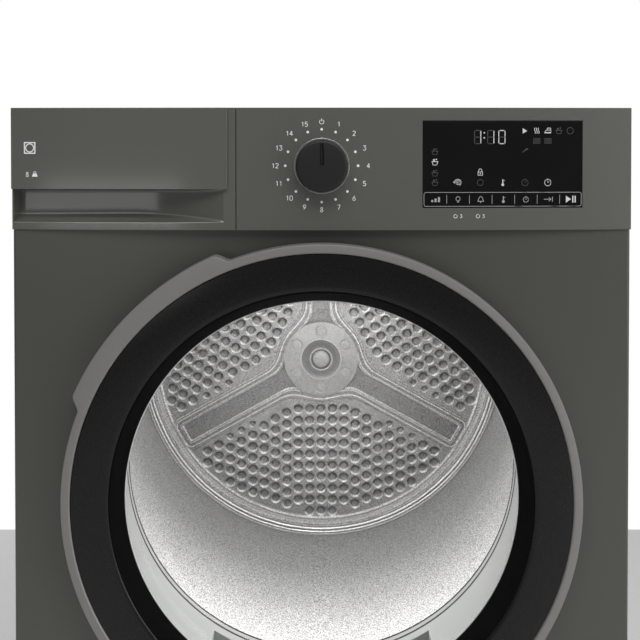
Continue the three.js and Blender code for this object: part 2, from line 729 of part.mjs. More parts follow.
// ---- rear services ----
function terminalCover() {
  const shell = box(-266, -218, REAR_Y + 0.4, REAR_Y + 12, 718, 762);
  return shell.add(rodZ(-242, REAR_Y + 6.4, 5, 706, 720, 16)).subtract(rodZ(-242, REAR_Y + 6.4, 3.6, 700, 716, 12));
}

// ---- assembly ----
place(machine, "side_panel_left", sidePanel(-1), GRAPHITE);
place(machine, "side_panel_right", sidePanel(1), GRAPHITE);
place(machine, "top_cover", topCover(), GRAPHITE);
place(machine, "front_panel", frontPanel(), GRAPHITE);
place(machine, "rear_panel", rearPanel(), GALVANISED);
place(machine, "rear_duct_cover", rearDuctCover(), GALVANISED);
place(machine, "base_pan", basePan(), BLACK_PLASTIC);
place(machine, "control_fascia", controlFascia(), GRAPHITE);
place(machine, "display_glass", displayGlass(), BLACK_GLOSS);
place(machine, "control_board", controlBoard(), GREY_PLASTIC);
place(machine, "tank_guide", tankGuide(), GREY_PLASTIC);
place(machine, "drum_bulkhead", drumBulkhead(), GREY_PLASTIC);
place(machine, "rear_bulkhead", rearBulkhead(), GALVANISED);
place(machine, "hinge_bracket", hingeBracket(), STEEL);
place(machine, "door_catch", doorCatch(), BLACK_PLASTIC);
place(machine, "drive_belt", driveBelt(), RUBBER);
place(machine, "drive_motor", driveMotor(), GALVANISED);
place(machine, "tensioner_bracket", tensionerBracket(), GALVANISED);
place(machine, "fan_housing", fanHousing(), GREY_PLASTIC);
place(machine, "compressor", compressor(), BLACK_PLASTIC);
place(machine, "evaporator", finnedCoil(-186, -70), ALUMINIUM);
place(machine, "condenser", finnedCoil(-50, 120), COPPER_RED);
place(machine, "condensate_pump", condensatePump(), GREY_PLASTIC);
place(machine, "tank_fill_hose", tankFillHose(), RUBBER);
place(machine, "flap_hinge_pin", flapHingePin(), STEEL);
place(machine, "exchanger_cover", exchangerCover(), GREY_PLASTIC);
place(machine, "terminal_cover", terminalCover(), BLACK_PLASTIC);
place(machine, "drawer_front", drawerFront(), GRAPHITE);
place(machine, "water_tank", waterTank(), TANK_PLASTIC);
place(machine, "tank_lid", tankLid(), GREY_PLASTIC);
place(machine, "lint_filter", lintFilter(), GREY_PLASTIC);
place(machine, "lower_flap", lowerFlap(), GRAPHITE);
place(machine, "idler_arm", idlerArm(), STEEL);

const knob = groupAt(0, FASCIA_CREST_Y, KNOB_Z);
place(knob, "programme_knob", knobCap(), BLACK_PLASTIC);
place(knob, "knob_ring", knobRing(), SILVER);

const door = groupAt(0, FACE_Y, AXIS_Z);
place(door, "door_ring", doorRing(), SILVER);
place(door, "door_bezel", doorBezel(), BLACK_GLOSS);
place(door, "door_glass", doorGlass(), GLASS);
place(door, "door_frame", doorFrame(), GREY_PLASTIC);
place(door, "door_gasket", doorGasket(), RUBBER);
place(door, "door_latch", doorLatch(), STEEL);
place(door, "door_hinge_leaf", doorHingeLeaf(), STEEL);

const drum = groupAt(0, 0, AXIS_Z);
place(drum, "drum_shell", drumShell(), STEEL);
place(drum, "drum_back", drumBack(), STEEL);
place(drum, "drum_shaft", drumShaft(), STEEL);
place(drum, "lifter_left", lifter(-1), STEEL);
place(drum, "lifter_right", lifter(1), STEEL);
place(drum, "drum_bearing", drumBearing(), STEEL);
place(drum, "front_seal", frontSeal(), FELT);
place(drum, "rear_seal", rearSeal(), FELT);

const LAMP_TURN = 28; // degrees from straight up, round the throat
const lamp = groupAt(0, 0, AXIS_Z);
lamp.rotation.y = THREE.MathUtils.degToRad(LAMP_TURN);
place(lamp, "drum_lamp", drumLamp(), GLASS);

for (const [name, x] of [["roller_left", -ROLLER_X], ["roller_right", ROLLER_X]]) {
  place(groupAt(x, 0, AXIS_Z - ROLLER_DROP), name, roller(), BLACK_PLASTIC);
}

const spindle = groupAt(MOTOR_X, 0, MOTOR_Z);
place(spindle, "motor_shaft", motorShaft(), STEEL);
place(spindle, "fan_impeller", fanImpeller(), GREY_PLASTIC);

place(groupAt(IDLER.x, 0, IDLER.z), "idler_wheel", idlerWheel(), BLACK_PLASTIC);

const sides = { left: -FOOT_X, right: FOOT_X };
const ends = { front: FOOT_YS[0], rear: FOOT_YS[1] };
for (const [end, y] of Object.entries(ends)) {
  for (const [side, x] of Object.entries(sides)) {
    place(groupAt(x, y, 0), `foot_${end}_${side}`, foot(), BLACK_PLASTIC);
  }
}

export default machine;
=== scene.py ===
# A free-standing front-loading clothes dryer: the visible surfaces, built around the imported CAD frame.
# Lengths are in millimetres and become metres when a piece is made. The front faces -Y and +Z is up.
import json
import math

import bmesh
import bpy
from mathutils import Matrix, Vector

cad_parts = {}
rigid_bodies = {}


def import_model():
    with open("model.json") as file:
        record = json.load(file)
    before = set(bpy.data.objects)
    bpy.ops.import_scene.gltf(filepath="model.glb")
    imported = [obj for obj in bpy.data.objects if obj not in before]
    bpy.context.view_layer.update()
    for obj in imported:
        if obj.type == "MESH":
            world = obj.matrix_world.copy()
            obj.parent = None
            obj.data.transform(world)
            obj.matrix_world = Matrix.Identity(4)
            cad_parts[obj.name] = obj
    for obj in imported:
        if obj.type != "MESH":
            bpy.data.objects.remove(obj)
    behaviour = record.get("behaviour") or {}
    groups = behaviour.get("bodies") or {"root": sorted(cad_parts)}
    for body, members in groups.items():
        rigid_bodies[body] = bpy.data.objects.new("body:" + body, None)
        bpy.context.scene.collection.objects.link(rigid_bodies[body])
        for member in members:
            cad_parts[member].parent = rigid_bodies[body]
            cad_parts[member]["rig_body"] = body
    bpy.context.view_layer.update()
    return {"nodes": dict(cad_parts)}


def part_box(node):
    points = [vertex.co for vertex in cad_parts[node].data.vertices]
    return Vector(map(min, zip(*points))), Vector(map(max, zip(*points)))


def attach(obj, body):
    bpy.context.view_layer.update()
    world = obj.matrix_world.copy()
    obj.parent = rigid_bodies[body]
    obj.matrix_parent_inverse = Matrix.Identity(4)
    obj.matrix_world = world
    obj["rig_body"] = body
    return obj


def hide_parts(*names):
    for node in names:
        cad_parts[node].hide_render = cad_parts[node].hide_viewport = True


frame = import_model()

MM = 0.001

# ---- places read from the frame ----


def box_mm(node):
    low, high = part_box(node)
    return low / MM, high / MM


def middle(node):
    low, high = box_mm(node)
    return (low + high) / 2


def radius_of(node):
    low, high = box_mm(node)
    return (high.x - low.x) / 2


PANEL_LOW, PANEL_HIGH = box_mm("front_panel")
FASCIA_LOW, FASCIA_HIGH = box_mm("control_fascia")
DRAWER_LOW, DRAWER_HIGH = box_mm("drawer_front")
DRUM_LOW, DRUM_HIGH = box_mm("drum_shell")
BEZEL_LOW, BEZEL_HIGH = box_mm("door_bezel")
RING_LOW, RING_HIGH = box_mm("door_ring")
GLASS_LOW, GLASS_HIGH = box_mm("display_glass")
KNOB = middle("programme_knob")
AXIS_Z = middle("drum_shell").z
HALF = PANEL_HIGH.x
FACE_Y = PANEL_LOW.y
DRUM_R = radius_of("drum_shell")
BEZEL_R = (BEZEL_HIGH.z - BEZEL_LOW.z) / 2
RING_R = AXIS_Z - RING_LOW.z
DOOR_Y = RING_LOW.y
CREST_Y = FASCIA_LOW.y
FLAP_FOOT = 46.0
BOW = 7.0  # the fascia's ends lie this far behind its crest
BACK_Y = box_mm("drum_back")[1].y - 1.5  # the drum's back wall, before its relief
OPENING_R = 214.4  # the round hole in the front panel
PLATE_FOOT = 768.0  # the drawer's face plate ends here, above the grip recess
AHEAD = -300.0  # in front of the whole machine, where the cuts through its front start


def fascia_y(x):
    return CREST_Y + BOW * (x / HALF) ** 2


# ---- materials ----
def material(name, color, roughness, metallic=0.0, **sockets):
    made = bpy.data.materials.new(name)
    made.use_nodes = True
    shader = made.node_tree.nodes["Principled BSDF"]
    shader.inputs["Base Color"].default_value = (*color, 1.0)
    shader.inputs["Roughness"].default_value = roughness
    shader.inputs["Metallic"].default_value = metallic
    for socket, value in sockets.items():
        shader.inputs[socket.replace("_", " ")].default_value = value
    return made


def node(tree, kind, **settings):
    made = tree.nodes.new(kind)
    for key, value in settings.items():
        setattr(made, key, value)
    return made


def own_place(tree):
    """The shaded point in the piece's own coordinates, in metres."""
    return node(tree, "ShaderNodeTexCoord").outputs["Object"]


def feed(tree, value, socket):
    """Links a value to an input of the material's surface."""
    tree.links.new(value, tree.nodes["Principled BSDF"].inputs[socket])


def noise(tree, scale, detail=3.0, stretch=(1, 1, 1)):
    mapping = node(tree, "ShaderNodeMapping")
    mapping.inputs["Scale"].default_value = stretch
    grain = node(tree, "ShaderNodeTexNoise")
    grain.inputs["Scale"].default_value = scale
    grain.inputs["Detail"].default_value = detail
    tree.links.new(own_place(tree), mapping.inputs["Vector"])
    tree.links.new(mapping.outputs["Vector"], grain.inputs["Vector"])
    return grain.outputs["Fac"]


def ramp(tree, value, stops):
    """A colour ramp over value: stops are (position, colour)."""
    made = node(tree, "ShaderNodeValToRGB")
    first, last = made.color_ramp.elements
    first.position, last.position = stops[0][0], stops[-1][0]
    first.color, last.color = (*stops[0][1], 1), (*stops[-1][1], 1)
    for position, color in stops[1:-1]:
        made.color_ramp.elements.new(position).color = (*color, 1)
    tree.links.new(value, made.inputs["Fac"])
    return made.outputs["Color"]


def spread(tree, value, low, high, start=0.0, end=1.0):
    made = node(tree, "ShaderNodeMapRange")
    made.inputs["From Min"].default_value = start
    made.inputs["From Max"].default_value = end
    made.inputs["To Min"].default_value = low
    made.inputs["To Max"].default_value = high
    tree.links.new(value, made.inputs["Value"])
    return made.outputs["Result"]


def bump(tree, height, depth, below=None):
    """Bump of the given depth in metres; below chains another bump under it."""
    made = node(tree, "ShaderNodeBump")
    made.inputs["Strength"].default_value = 1.0
    made.inputs["Distance"].default_value = depth
    tree.links.new(height, made.inputs["Height"])
    if below:
        tree.links.new(below, made.inputs["Normal"])
    return made.outputs["Normal"]


def grained(made, scale, darker, lighter, roughness=None, depth=0.0, detail=3.0, stretch=(1, 1, 1)):
    """Gives a material fine variation: colour between two tones, roughness between two values, and bump."""
    tree = made.node_tree
    value = noise(tree, scale, detail, stretch)
    feed(tree, ramp(tree, value, [(0.3, darker), (0.7, lighter)]), "Base Color")
    if roughness:
        feed(tree, spread(tree, value, *roughness, 0.3, 0.7), "Roughness")
    if depth:
        feed(tree, bump(tree, value, depth), "Normal")
    return made


def tone(color, factor):
    return tuple(c * factor for c in color)


def neutral(level):
    return (level, level, level)


OLIVE = (0.098, 0.1, 0.087)
DEEP_OLIVE = (0.066, 0.068, 0.057)
STAINLESS = (0.44, 0.436, 0.434)
HUB_TONE = (0.325, 0.323, 0.321)


def body_paint():
    """Olive-grey metallic paint on steel: fine flake under a satin lacquer."""
    made = material("body_paint", DEEP_OLIVE, 0.42, 0.4, Coat_Weight=0.2, Coat_Roughness=0.3)
    return grained(made, 2600, tone(DEEP_OLIVE, 0.94), tone(DEEP_OLIVE, 1.06), (0.4, 0.46), 0.000003, 2.0)


def fascia_paint():
    """The same colour on moulded plastic, with a clearer lacquer."""
    made = material("fascia_paint", OLIVE, 0.42, 0.4, Coat_Weight=0.6, Coat_Roughness=0.12)
    return grained(made, 2600, tone(OLIVE, 0.95), tone(OLIVE, 1.05), (0.4, 0.46), 0.000003, 2.0)


def ring_metal():
    color = (0.2, 0.194, 0.186)
    made = material("ring_metal", color, 0.46, 0.45)
    return grained(made, 1500, tone(color, 0.95), tone(color, 1.05), (0.43, 0.5), 0.000003)


def bezel_black():
    made = material("bezel_black", neutral(0.006), 0.25, Specular_IOR_Level=0.22)
    return grained(made, 700, neutral(0.0055), neutral(0.007), (0.23, 0.28))


def display_black():
    made = material("display_black", neutral(0.004), 0.12, Specular_IOR_Level=0.3)
    return grained(made, 30, neutral(0.0038), neutral(0.0045), (0.1, 0.14))


def black_plastic():
    made = material("black_plastic", neutral(0.012), 0.5)
    return grained(made, 1800, neutral(0.01), neutral(0.014), (0.45, 0.55), 0.00002)


def knob_black():
    made = material("knob_black", neutral(0.0085), 0.5, Specular_IOR_Level=0.3)
    return grained(made, 2400, neutral(0.008), neutral(0.009), (0.46, 0.54), 0.000006)


def grey_plastic():
    color = (0.33, 0.335, 0.33)
    made = material("grey_plastic", color, 0.5)
    return grained(made, 1600, tone(color, 0.96), tone(color, 1.04), (0.45, 0.55), 0.00001)


def galvanised():
    """Zinc-coated sheet, with the pale and dark spangle of its crystals."""
    color = (0.42, 0.43, 0.44)
    made = material("galvanised_steel", color, 0.45, 0.85)
    tree = made.node_tree
    cells = node(tree, "ShaderNodeTexVoronoi")
    cells.inputs["Scale"].default_value = 120
    tree.links.new(own_place(tree), cells.inputs["Vector"])
    grey = node(tree, "ShaderNodeRGBToBW")
    tree.links.new(cells.outputs["Color"], grey.inputs["Color"])
    spangle = ramp(tree, grey.outputs["Val"], [(0.2, tone(color, 0.86)), (0.8, tone(color, 1.12))])
    feed(tree, spangle, "Base Color")
    feed(tree, spread(tree, grey.outputs["Val"], 0.4, 0.55), "Roughness")
    return made


def steel():
    color = (0.5, 0.5, 0.49)
    made = material("steel_hardware", color, 0.32, 0.95)
    return grained(made, 900, tone(color, 0.9), tone(color, 1.1), (0.28, 0.4), 0.000004, stretch=(1, 1, 6))


def drum_steel():
    """Stainless sheet with the fine matt speckle of a rolled surface."""
    made = material("drum_steel", STAINLESS, 0.5, 0.6)
    return grained(made, 900, tone(STAINLESS, 0.7), tone(STAINLESS, 1.3), (0.45, 0.58), 0.00002, 1.0)


def chrome():
    made = material("chrome_trim", (0.62, 0.62, 0.61), 0.3, 0.7)
    return grained(made, 600, (0.58, 0.58, 0.57), (0.66, 0.66, 0.65), (0.26, 0.34))


def rubber():
    made = material("rubber_black", neutral(0.016), 0.75)
    return grained(made, 1400, neutral(0.013), neutral(0.02), (0.7, 0.85), 0.00003)


def felt():
    made = material("felt", (0.3, 0.28, 0.24), 0.95, 0.0, Sheen_Weight=0.3)
    return grained(made, 900, (0.24, 0.22, 0.19), (0.36, 0.34, 0.29), (0.9, 1.0), 0.0001)


def window_glass():
    """Clear thin glass: what shows is its gloss."""
    return material("window_glass", (0.02, 0.022, 0.022), 0.02, 0.0, Alpha=0.12, IOR=1.5)


def tank_plastic():
    """Milky polypropylene that lets some light through."""
    color = (0.72, 0.75, 0.76)
    made = material("tank_plastic", color, 0.35, 0.0, Transmission_Weight=0.35, IOR=1.49)
    return grained(made, 300, tone(color, 0.97), tone(color, 1.03), (0.3, 0.42), 0.00001)


def fins():
    """A coil's packed fins: fine vertical lamellae."""
    color = (0.5, 0.51, 0.52)
    made = material("aluminium_fins", color, 0.38, 0.9)
    tree = made.node_tree
    value = noise(tree, 500, 1.0, (4, 0.05, 0.05))
    feed(tree, ramp(tree, value, [(0.4, tone(color, 0.4)), (0.6, color)]), "Base Color")
    feed(tree, bump(tree, value, 0.0004), "Normal")
    return made


def print_white(name, level):
    """Printing ink, or a symbol on the display: paler the higher its level."""
    made = material(name, (level, level, level * 0.98), 0.6)
    return grained(made, 3000, neutral(level * 0.95), neutral(level), (0.55, 0.65))


PAINT = body_paint()
FASCIA = fascia_paint()
RING = ring_metal()
BEZEL = bezel_black()
DISPLAY = display_black()
PLASTIC = black_plastic()
KNOB_BLACK = knob_black()
GREY = grey_plastic()
ZINC = galvanised()
STEEL = steel()
DRUM = drum_steel()
CHROME = chrome()
RUBBER = rubber()
FELT = felt()
GLASS = window_glass()
TANK = tank_plastic()
FINS = fins()
INK = print_white("pale_ink", 0.72)
LIT = print_white("lit_symbol", 0.52)
DIM = print_white("unlit_symbol", 0.035)
GREY_LINE = print_white("grey_line", 0.3)


# ---- outlines ----
def arc(cx, cy, radius, start, end, steps):
    """Points along an arc from start to end, both in degrees."""
    turns = [math.radians(start + (end - start) * i / steps) for i in range(steps + 1)]
    return [(cx + radius * math.cos(turn), cy + radius * math.sin(turn)) for turn in turns]


def eased(points, radius, steps=4, closed=True):
    """The outline with each corner rounded to about radius, or less where its sides are short."""
    out = []
    count = len(points)
    for i, point in enumerate(points):
        if not closed and i in (0, count - 1):
            out.append(point)
            continue
        corner = Vector(point)
        before = Vector(points[i - 1]) - corner
        after = Vector(points[(i + 1) % count]) - corner
        reach = min(radius, before.length * 0.45, after.length * 0.45)
        a = corner + before.normalized() * reach
        b = corner + after.normalized() * reach
        for k in range(steps + 1):
            t = k / steps
            out.append(tuple(a * (1 - t) ** 2 + corner * 2 * t * (1 - t) + b * t * t))
    return out


def rectangle(x0, x1, z0, z1, radius=0.0, steps=5):
    corners = [(x0, z0), (x1, z0), (x1, z1), (x0, z1)]
    return eased(corners, radius, steps) if radius else corners


# ---- solids, still without a name or a material ----
def raw(verts, faces):
    mesh = bpy.data.meshes.new("raw")
    mesh.from_pydata([(x * MM, y * MM, z * MM) for x, y, z in verts], [], faces)
    work = bmesh.new()
    work.from_mesh(mesh)
    bmesh.ops.remove_doubles(work, verts=work.verts, dist=0.000002)
    bmesh.ops.recalc_face_normals(work, faces=work.faces)
    work.to_mesh(mesh)
    work.free()
    obj = bpy.data.objects.new("raw", mesh)
    bpy.context.scene.collection.objects.link(obj)
    return obj


def band(a, b, count):
    """The faces between two rings of count points, whose first points have the numbers a and b."""
    return [(a + k, a + (k + 1) % count, b + (k + 1) % count, b + k) for k in range(count)]


def loft(rings, capped=True, looped=False):
    """Skins closed rings of points, all of the same length."""
    count = len(rings[0])
    verts = [point for ring in rings for point in ring]
    faces = []
    for i in range(len(rings) if looped else len(rings) - 1):
        faces += band(i * count, (i + 1) % len(rings) * count, count)
    if capped and not looped:
        faces.append(tuple(range(count - 1, -1, -1)))
        faces.append(tuple(range(len(verts) - count, len(verts))))
    return raw(verts, faces)


def put(axis, a, b, along):
    """The point that lies along an axis, and at a and b on the other two, which keep their X, Y, Z order."""
    return {"x": (along, a, b), "y": (a, along, b), "z": (a, b, along)}[axis]


def prism(outline, axis, low, high):
    """An outline given in the two axes across axis, in X, Y, Z order, standing from low to high along it."""
    return loft([[put(axis, a, b, h) for a, b in outline] for h in (low, high)])


def block(x0, x1, y0, y1, z0, z1):
    return prism(rectangle(x0, x1, y0, y1), "z", z0, z1)


def panel(x0, x1, z0, z1, y0, y1, radius):
    """A block whose corners are rounded as seen from the front."""
    return prism(rectangle(x0, x1, z0, z1, radius), "y", y0, y1)


def turned(profile, cx=0.0, cz=None, steps=160, axis="y"):
    """A closed profile of (radius, along) points turned about an axis through (cx, cz)."""
    cz = AXIS_Z if cz is None else cz
    turns = [2 * math.pi * k / steps for k in range(steps)]
    rings = []
    for reach, along in profile:
        r = max(reach, 0.01)
        rings.append([put(axis, cx + r * math.cos(t), cz + r * math.sin(t), along) for t in turns])
    on_axis = profile[0][0] == 0 and profile[-1][0] == 0
    return loft(rings, capped=on_axis, looped=not on_axis)


def set_off(y, profile):
    """A profile that was given as (radius, distance behind y)."""
    return [(r, y + behind) for r, behind in profile]


def cylinder(radius, low, high, cx=0.0, cz=None, steps=160, axis="y"):
    return turned([(0, low), (radius, low), (radius, high), (0, high)], cx, cz, steps, axis)


def carve(obj, *cutters, operation="DIFFERENCE"):
    """Cuts the cutters out of obj, or joins them to it, and removes them."""
    for cutter in cutters:
        cut = obj.modifiers.new("cut", "BOOLEAN")
        cut.operation = operation
        cut.solver = "EXACT"
        cut.object = cutter
        depsgraph = bpy.context.evaluated_depsgraph_get()
        result = bpy.data.meshes.new_from_object(obj.evaluated_get(depsgraph))
        obj.modifiers.clear()
        obj.data = result
        bpy.data.objects.remove(cutter)
    return obj


def fuse(obj, *others):
    return carve(obj, *others, operation="UNION")


def piece(obj, name, body, look, replaced=(), edge=0.0, edge_steps=2, sharp=32):
    """Names a solid, rounds its edges, and hangs it on its body."""
    obj.name = name
    obj.data.name = name
    obj.data.materials.clear()
    obj.data.materials.append(look)
    obj.data.shade_smooth()
    obj.data.set_sharp_from_angle(angle=math.radians(sharp))
    if edge:
        rounding = obj.modifiers.new("edges", "BEVEL")
        rounding.width = edge * MM
        rounding.segments = edge_steps
        rounding.limit_method = "ANGLE"
        rounding.angle_limit = math.radians(sharp)
        rounding.use_clamp_overlap = True
        flatten = obj.modifiers.new("flat_faces", "WEIGHTED_NORMAL")
        flatten.keep_sharp = True
    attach(obj, body)
    if replaced:
        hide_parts(*([replaced] if isinstance(replaced, str) else replaced))
    return obj


def joined(objs):
    """One object from several loose ones that needn't be fused."""
    verts, faces = [], []
    for obj in objs:
        start = len(verts)
        verts += [tuple(v.co / MM) for v in obj.data.vertices]
        faces += [tuple(start + i for i in p.vertices) for p in obj.data.polygons]
        bpy.data.objects.remove(obj)
    return raw(verts, faces)


# ---- cabinet ----
def front_panel():
    corner, sheet = 3.0, 1.5
    low, high = PANEL_LOW, PANEL_HIGH
    y = low.y + corner
    outline = [(low.x, high.y)]
    outline += arc(low.x + corner, y, corner, 180, 270, 14)
    outline += arc(high.x - corner, y, corner, 270, 360, 14)
    outline += [(high.x, high.y), (high.x - sheet, high.y)]
    outline += arc(high.x - corner, y, corner - sheet, 360, 270, 14)
    outline += arc(low.x + corner, y, corner - sheet, 270, 180, 14)
    outline += [(low.x + sheet, high.y)]
    flap_low, flap_high = box_mm("lower_flap")
    catch = middle("door_latch")
    within = -245.0
    skin = prism(outline, "z", low.z, high.z)
    carve(
        skin,
        cylinder(OPENING_R, AHEAD, within + 5),
        panel(flap_low.x - 1, flap_high.x + 1, FLAP_FOOT - 2, flap_high.z + 1, AHEAD, within, 5),
        panel(catch.x - 11, catch.x + 13, AXIS_Z - 12, AXIS_Z + 12, AHEAD, within, 3),
    )
    piece(skin, "front_panel_skin", "cabinet", PAINT, "front_panel", 0.5)


def side_panel(node_name, side):
    low, high = box_mm(node_name)
    flange, sheet = 10.0, 1.5
    outer = high.x if side > 0 else -low.x
    outline = [
        (outer, low.y),
        (outer, high.y),
        (outer - flange, high.y),
        (outer - flange, high.y - sheet),
        (outer - sheet, high.y - sheet),
        (outer - sheet, low.y + sheet),
        (outer - flange, low.y + sheet),
        (outer - flange, low.y),
    ]
    wall = prism([(side * x, y) for x, y in outline], "z", low.z, high.z)
    piece(wall, node_name + "_skin", "cabinet", PAINT, node_name, 0.6)


def top_cover():
    low, high = box_mm("top_cover")
    lid = prism(rectangle(low.x, high.x, low.y, high.y, 3, 4), "z", low.z, high.z)
    inside = block(low.x + 3, high.x - 3, low.y + 3, high.y - 3, low.z - 5, high.z - 3)
    piece(carve(lid, inside), "worktop", "cabinet", PAINT, "top_cover", 1.6, 4)


MOTOR = middle("motor_shaft")
DUCT = [(0.0, AXIS_Z, 232.0), (MOTOR.x, MOTOR.z + 8, 88.0)]  # x, z and radius of its two round ends
DUCT_STEPS = 150


def duct_ring(offset, y):
    """The taut loop round the duct's two ends, grown by offset, sampled by the direction it faces."""
    ring = []
    for k in range(DUCT_STEPS):
        turn = 2 * math.pi * k / DUCT_STEPS
        out_x, out_z = math.cos(turn), math.sin(turn)
        reaches = [x * out_x + z * out_z + r for x, z, r in DUCT]
        x, z, r = DUCT[reaches.index(max(reaches))]
        ring.append((x + (r + offset) * out_x, y, z + (r + offset) * out_z))
    return ring


def rear_panel():
    low, high = box_mm("rear_panel")
    sheet = block(low.x, high.x, low.y, high.y, low.z, high.z)
    near, far = low.y - 5, high.y + 5
    duct = loft([duct_ring(-6, near), duct_ring(-6, far)])
    slots = [panel(-210, -110, z, z + 6, near, far, 3) for z in range(60, 186, 14)]
    inlet = block(-262, -222, near, far, 724, 756)
    carve(sheet, duct, inlet, *slots)
    piece(sheet, "rear_sheet", "cabinet", ZINC, "rear_panel", 0.3)


def rear_duct_cover():
    """A pressed pear-shaped pan with a rolled shoulder and a stiffening step."""
    low, high = box_mm("rear_duct_cover")
    sheet = 1.5
    outside = [(8, low.y), (8, low.y + sheet), (2.5, low.y + sheet), (0.6, low.y + sheet + 1.5)]
    outside += [(-4 + 4 * math.cos(a), high.y - 4 + 4 * math.sin(a)) for a in (0.0, 0.5, 1.05, 1.57)]
    outside += [(-26, high.y), (-29, high.y - 2.2), (-60, high.y - 2.2), (-63, high.y)]
    inside = [(-63, high.y - sheet), (-60, high.y - 3.7), (-29, high.y - 3.7), (-26, high.y - sheet)]
    inside += [(-5, high.y - sheet), (-1.5, high.y - 5), (-1.5, low.y)]
    pan = loft([duct_ring(offset, y) for offset, y in inside + outside])
    piece(pan, "duct_cover", "cabinet", ZINC, "rear_duct_cover", sharp=25)


def screw(name, x, y, z, radius=4.0):
    """A pan-head cross-slot screw in the back, with its head's foot at y."""
    head = [(0, y), (radius, y), (radius, y + 0.9), (radius * 0.6, y + 1.9), (0, y + 2.2)]
    made = turned(head, x, z, 24)
    reach, half = radius * 0.55, 0.5
    carve(
        made,
        block(x - reach, x + reach, y + 1.2, y + 3, z - half, z + half),
        block(x - half, x + half, y + 1.2, y + 3, z - reach, z + reach),
    )
    piece(made, name, "cabinet", STEEL)


def rear_screws():
    y = box_mm("rear_panel")[1].y
    edge, foot, top = 288, 40, 812
    places = [(side * edge, z) for side in (-1, 1) for z in (foot, 240, 440, 640, top)]
    places += [(-150, top), (0, top), (150, top), (0, foot)]
    for i, (x, z) in enumerate(places):
        screw(f"rear_screw_{i + 1}", x, y, z)
    flange = box_mm("rear_duct_cover")[0].y + 1.5
    for i, (x, _, z) in enumerate(duct_ring(4.4, flange)[6::16]):
        screw(f"duct_screw_{i + 1}", x, flange, z, 3.2)


def terminal_cover():
    low, high = box_mm("terminal_cover")
    shell = panel(low.x, high.x, 718, high.z, low.y, high.y, 5)
    collar = [(3.6, low.z), (5, low.z), (5, 712), (5.0, 719), (3.6, 719)]
    gland = turned(collar, middle("terminal_cover").x, 276.4, 32, "z")
    housing = joined([shell, gland])
    piece(housing, "terminal_housing", "cabinet", PLASTIC, "terminal_cover", 1.2, 3)


# ---- fascia, display, knob ----
def bowed_outline(x0, x1, front, back_y, steps=36):
    xs = [x0 + (x1 - x0) * i / steps for i in range(steps + 1)]
    return [(x, fascia_y(x) + front) for x in xs] + [(x1, back_y), (x0, back_y)]


def bowed_slab(x0, x1, z0, z1, front, back, radius=0.0):
    """A slab seen from the front as a rectangle, whose front and back follow the fascia's bow."""
    strips = max(2, int((x1 - x0) / 8))
    slab = panel(x0, x1, z0, z1, front, back, radius)
    work = bmesh.new()
    work.from_mesh(slab.data)
    for i in range(1, strips):
        cut_x = (x0 + (x1 - x0) * i / strips) * MM
        parts = work.verts[:] + work.edges[:] + work.faces[:]
        bmesh.ops.bisect_plane(work, geom=parts, plane_co=(cut_x, 0, 0), plane_no=(1, 0, 0))
    for vert in work.verts:
        vert.co.y += fascia_y(vert.co.x / MM) * MM
    work.to_mesh(slab.data)
    work.free()
    return slab


def control_fascia():
    low, high = FASCIA_LOW, FASCIA_HIGH
    wall, gap = 4, 0.3
    shell = prism(bowed_outline(low.x, high.x, 0, high.y), "z", low.z, high.z)
    inside = bowed_outline(low.x + wall, high.x - wall, wall, high.y + 6)
    window = (GLASS_LOW.x - gap, GLASS_HIGH.x + gap, GLASS_LOW.z - gap, GLASS_HIGH.z + gap)
    carve(
        shell,
        prism(inside, "z", low.z + wall, high.z - wall),
        bowed_slab(*window, -6, 2.3),
        cylinder(5.5, -290, -230, 0, KNOB.z, 32),
    )
    piece(shell, "fascia_moulding", "cabinet", FASCIA, "control_fascia", 0.9, 3)


def display_panel():
    pane = bowed_slab(GLASS_LOW.x, GLASS_HIGH.x, GLASS_LOW.z, GLASS_HIGH.z, 0.15, 2, 0.8)
    piece(pane, "display_panel", "cabinet", DISPLAY, "display_glass", 0.25)


def programme_knob():
    low, high = box_mm("programme_knob")
    radius = radius_of("programme_knob")
    x, z = KNOB.x, KNOB.z
    front, back = low.y, CREST_Y - 0.8
    side = [(radius, back), (radius, front + 3.2)]
    turns = (0.4, 0.8, 1.2, 1.57)
    crown = [(radius - 2.4 + 2.4 * math.cos(a), front + 3.2 - 2.4 * math.sin(a)) for a in turns]
    dished = [(radius - 4, front + 0.65), (radius - 8, front + 0.2), (8, front), (0, front)]
    cap = turned([(0, back), *side, *crown, *dished], x, z, 128)
    groove = [(-2.3, front - 0.02), (2.3, front - 0.02), (0.7, front + 1.7), (-0.7, front + 1.7)]
    pointer = prism(groove, "z", z + 0.8, z + radius - 3.0)
    knob = fuse(carve(cap, pointer), cylinder(4, back - 1, high.y, x, z, 24))
    piece(knob, "knob_cap", "knob", KNOB_BLACK, "programme_knob", 0.25)
    mark = panel(-0.35, 0.35, z + 1.2, z + radius - 3.4, front + 0.5, front + 2.0, 0.2)
    piece(mark, "knob_pointer_line", "knob", KNOB_BLACK)


def knob_ring():
    low, high = box_mm("knob_ring")
    radius = radius_of("knob_ring")
    inner, top = radius - 1.85, KNOB.z + radius
    profile = [(inner, high.y), (radius, high.y), (radius, low.y + 0.2), (radius - 0.06, low.y + 0.05)]
    profile += [(radius - 0.2, low.y), (radius - 0.3, low.y + 0.04), (inner, low.y + 1.1)]
    ring = turned(profile, KNOB.x, KNOB.z, 128)
    nib = [(-3.2, top - 0.5), (3.2, top - 0.5), (0, top + 0.8)]
    fuse(ring, prism(nib, "y", low.y + 0.4, high.y - 0.3))
    piece(ring, "knob_bright_ring", "knob", CHROME, "knob_ring")


# ---- printing ----
INK_DEPTH = 0.12


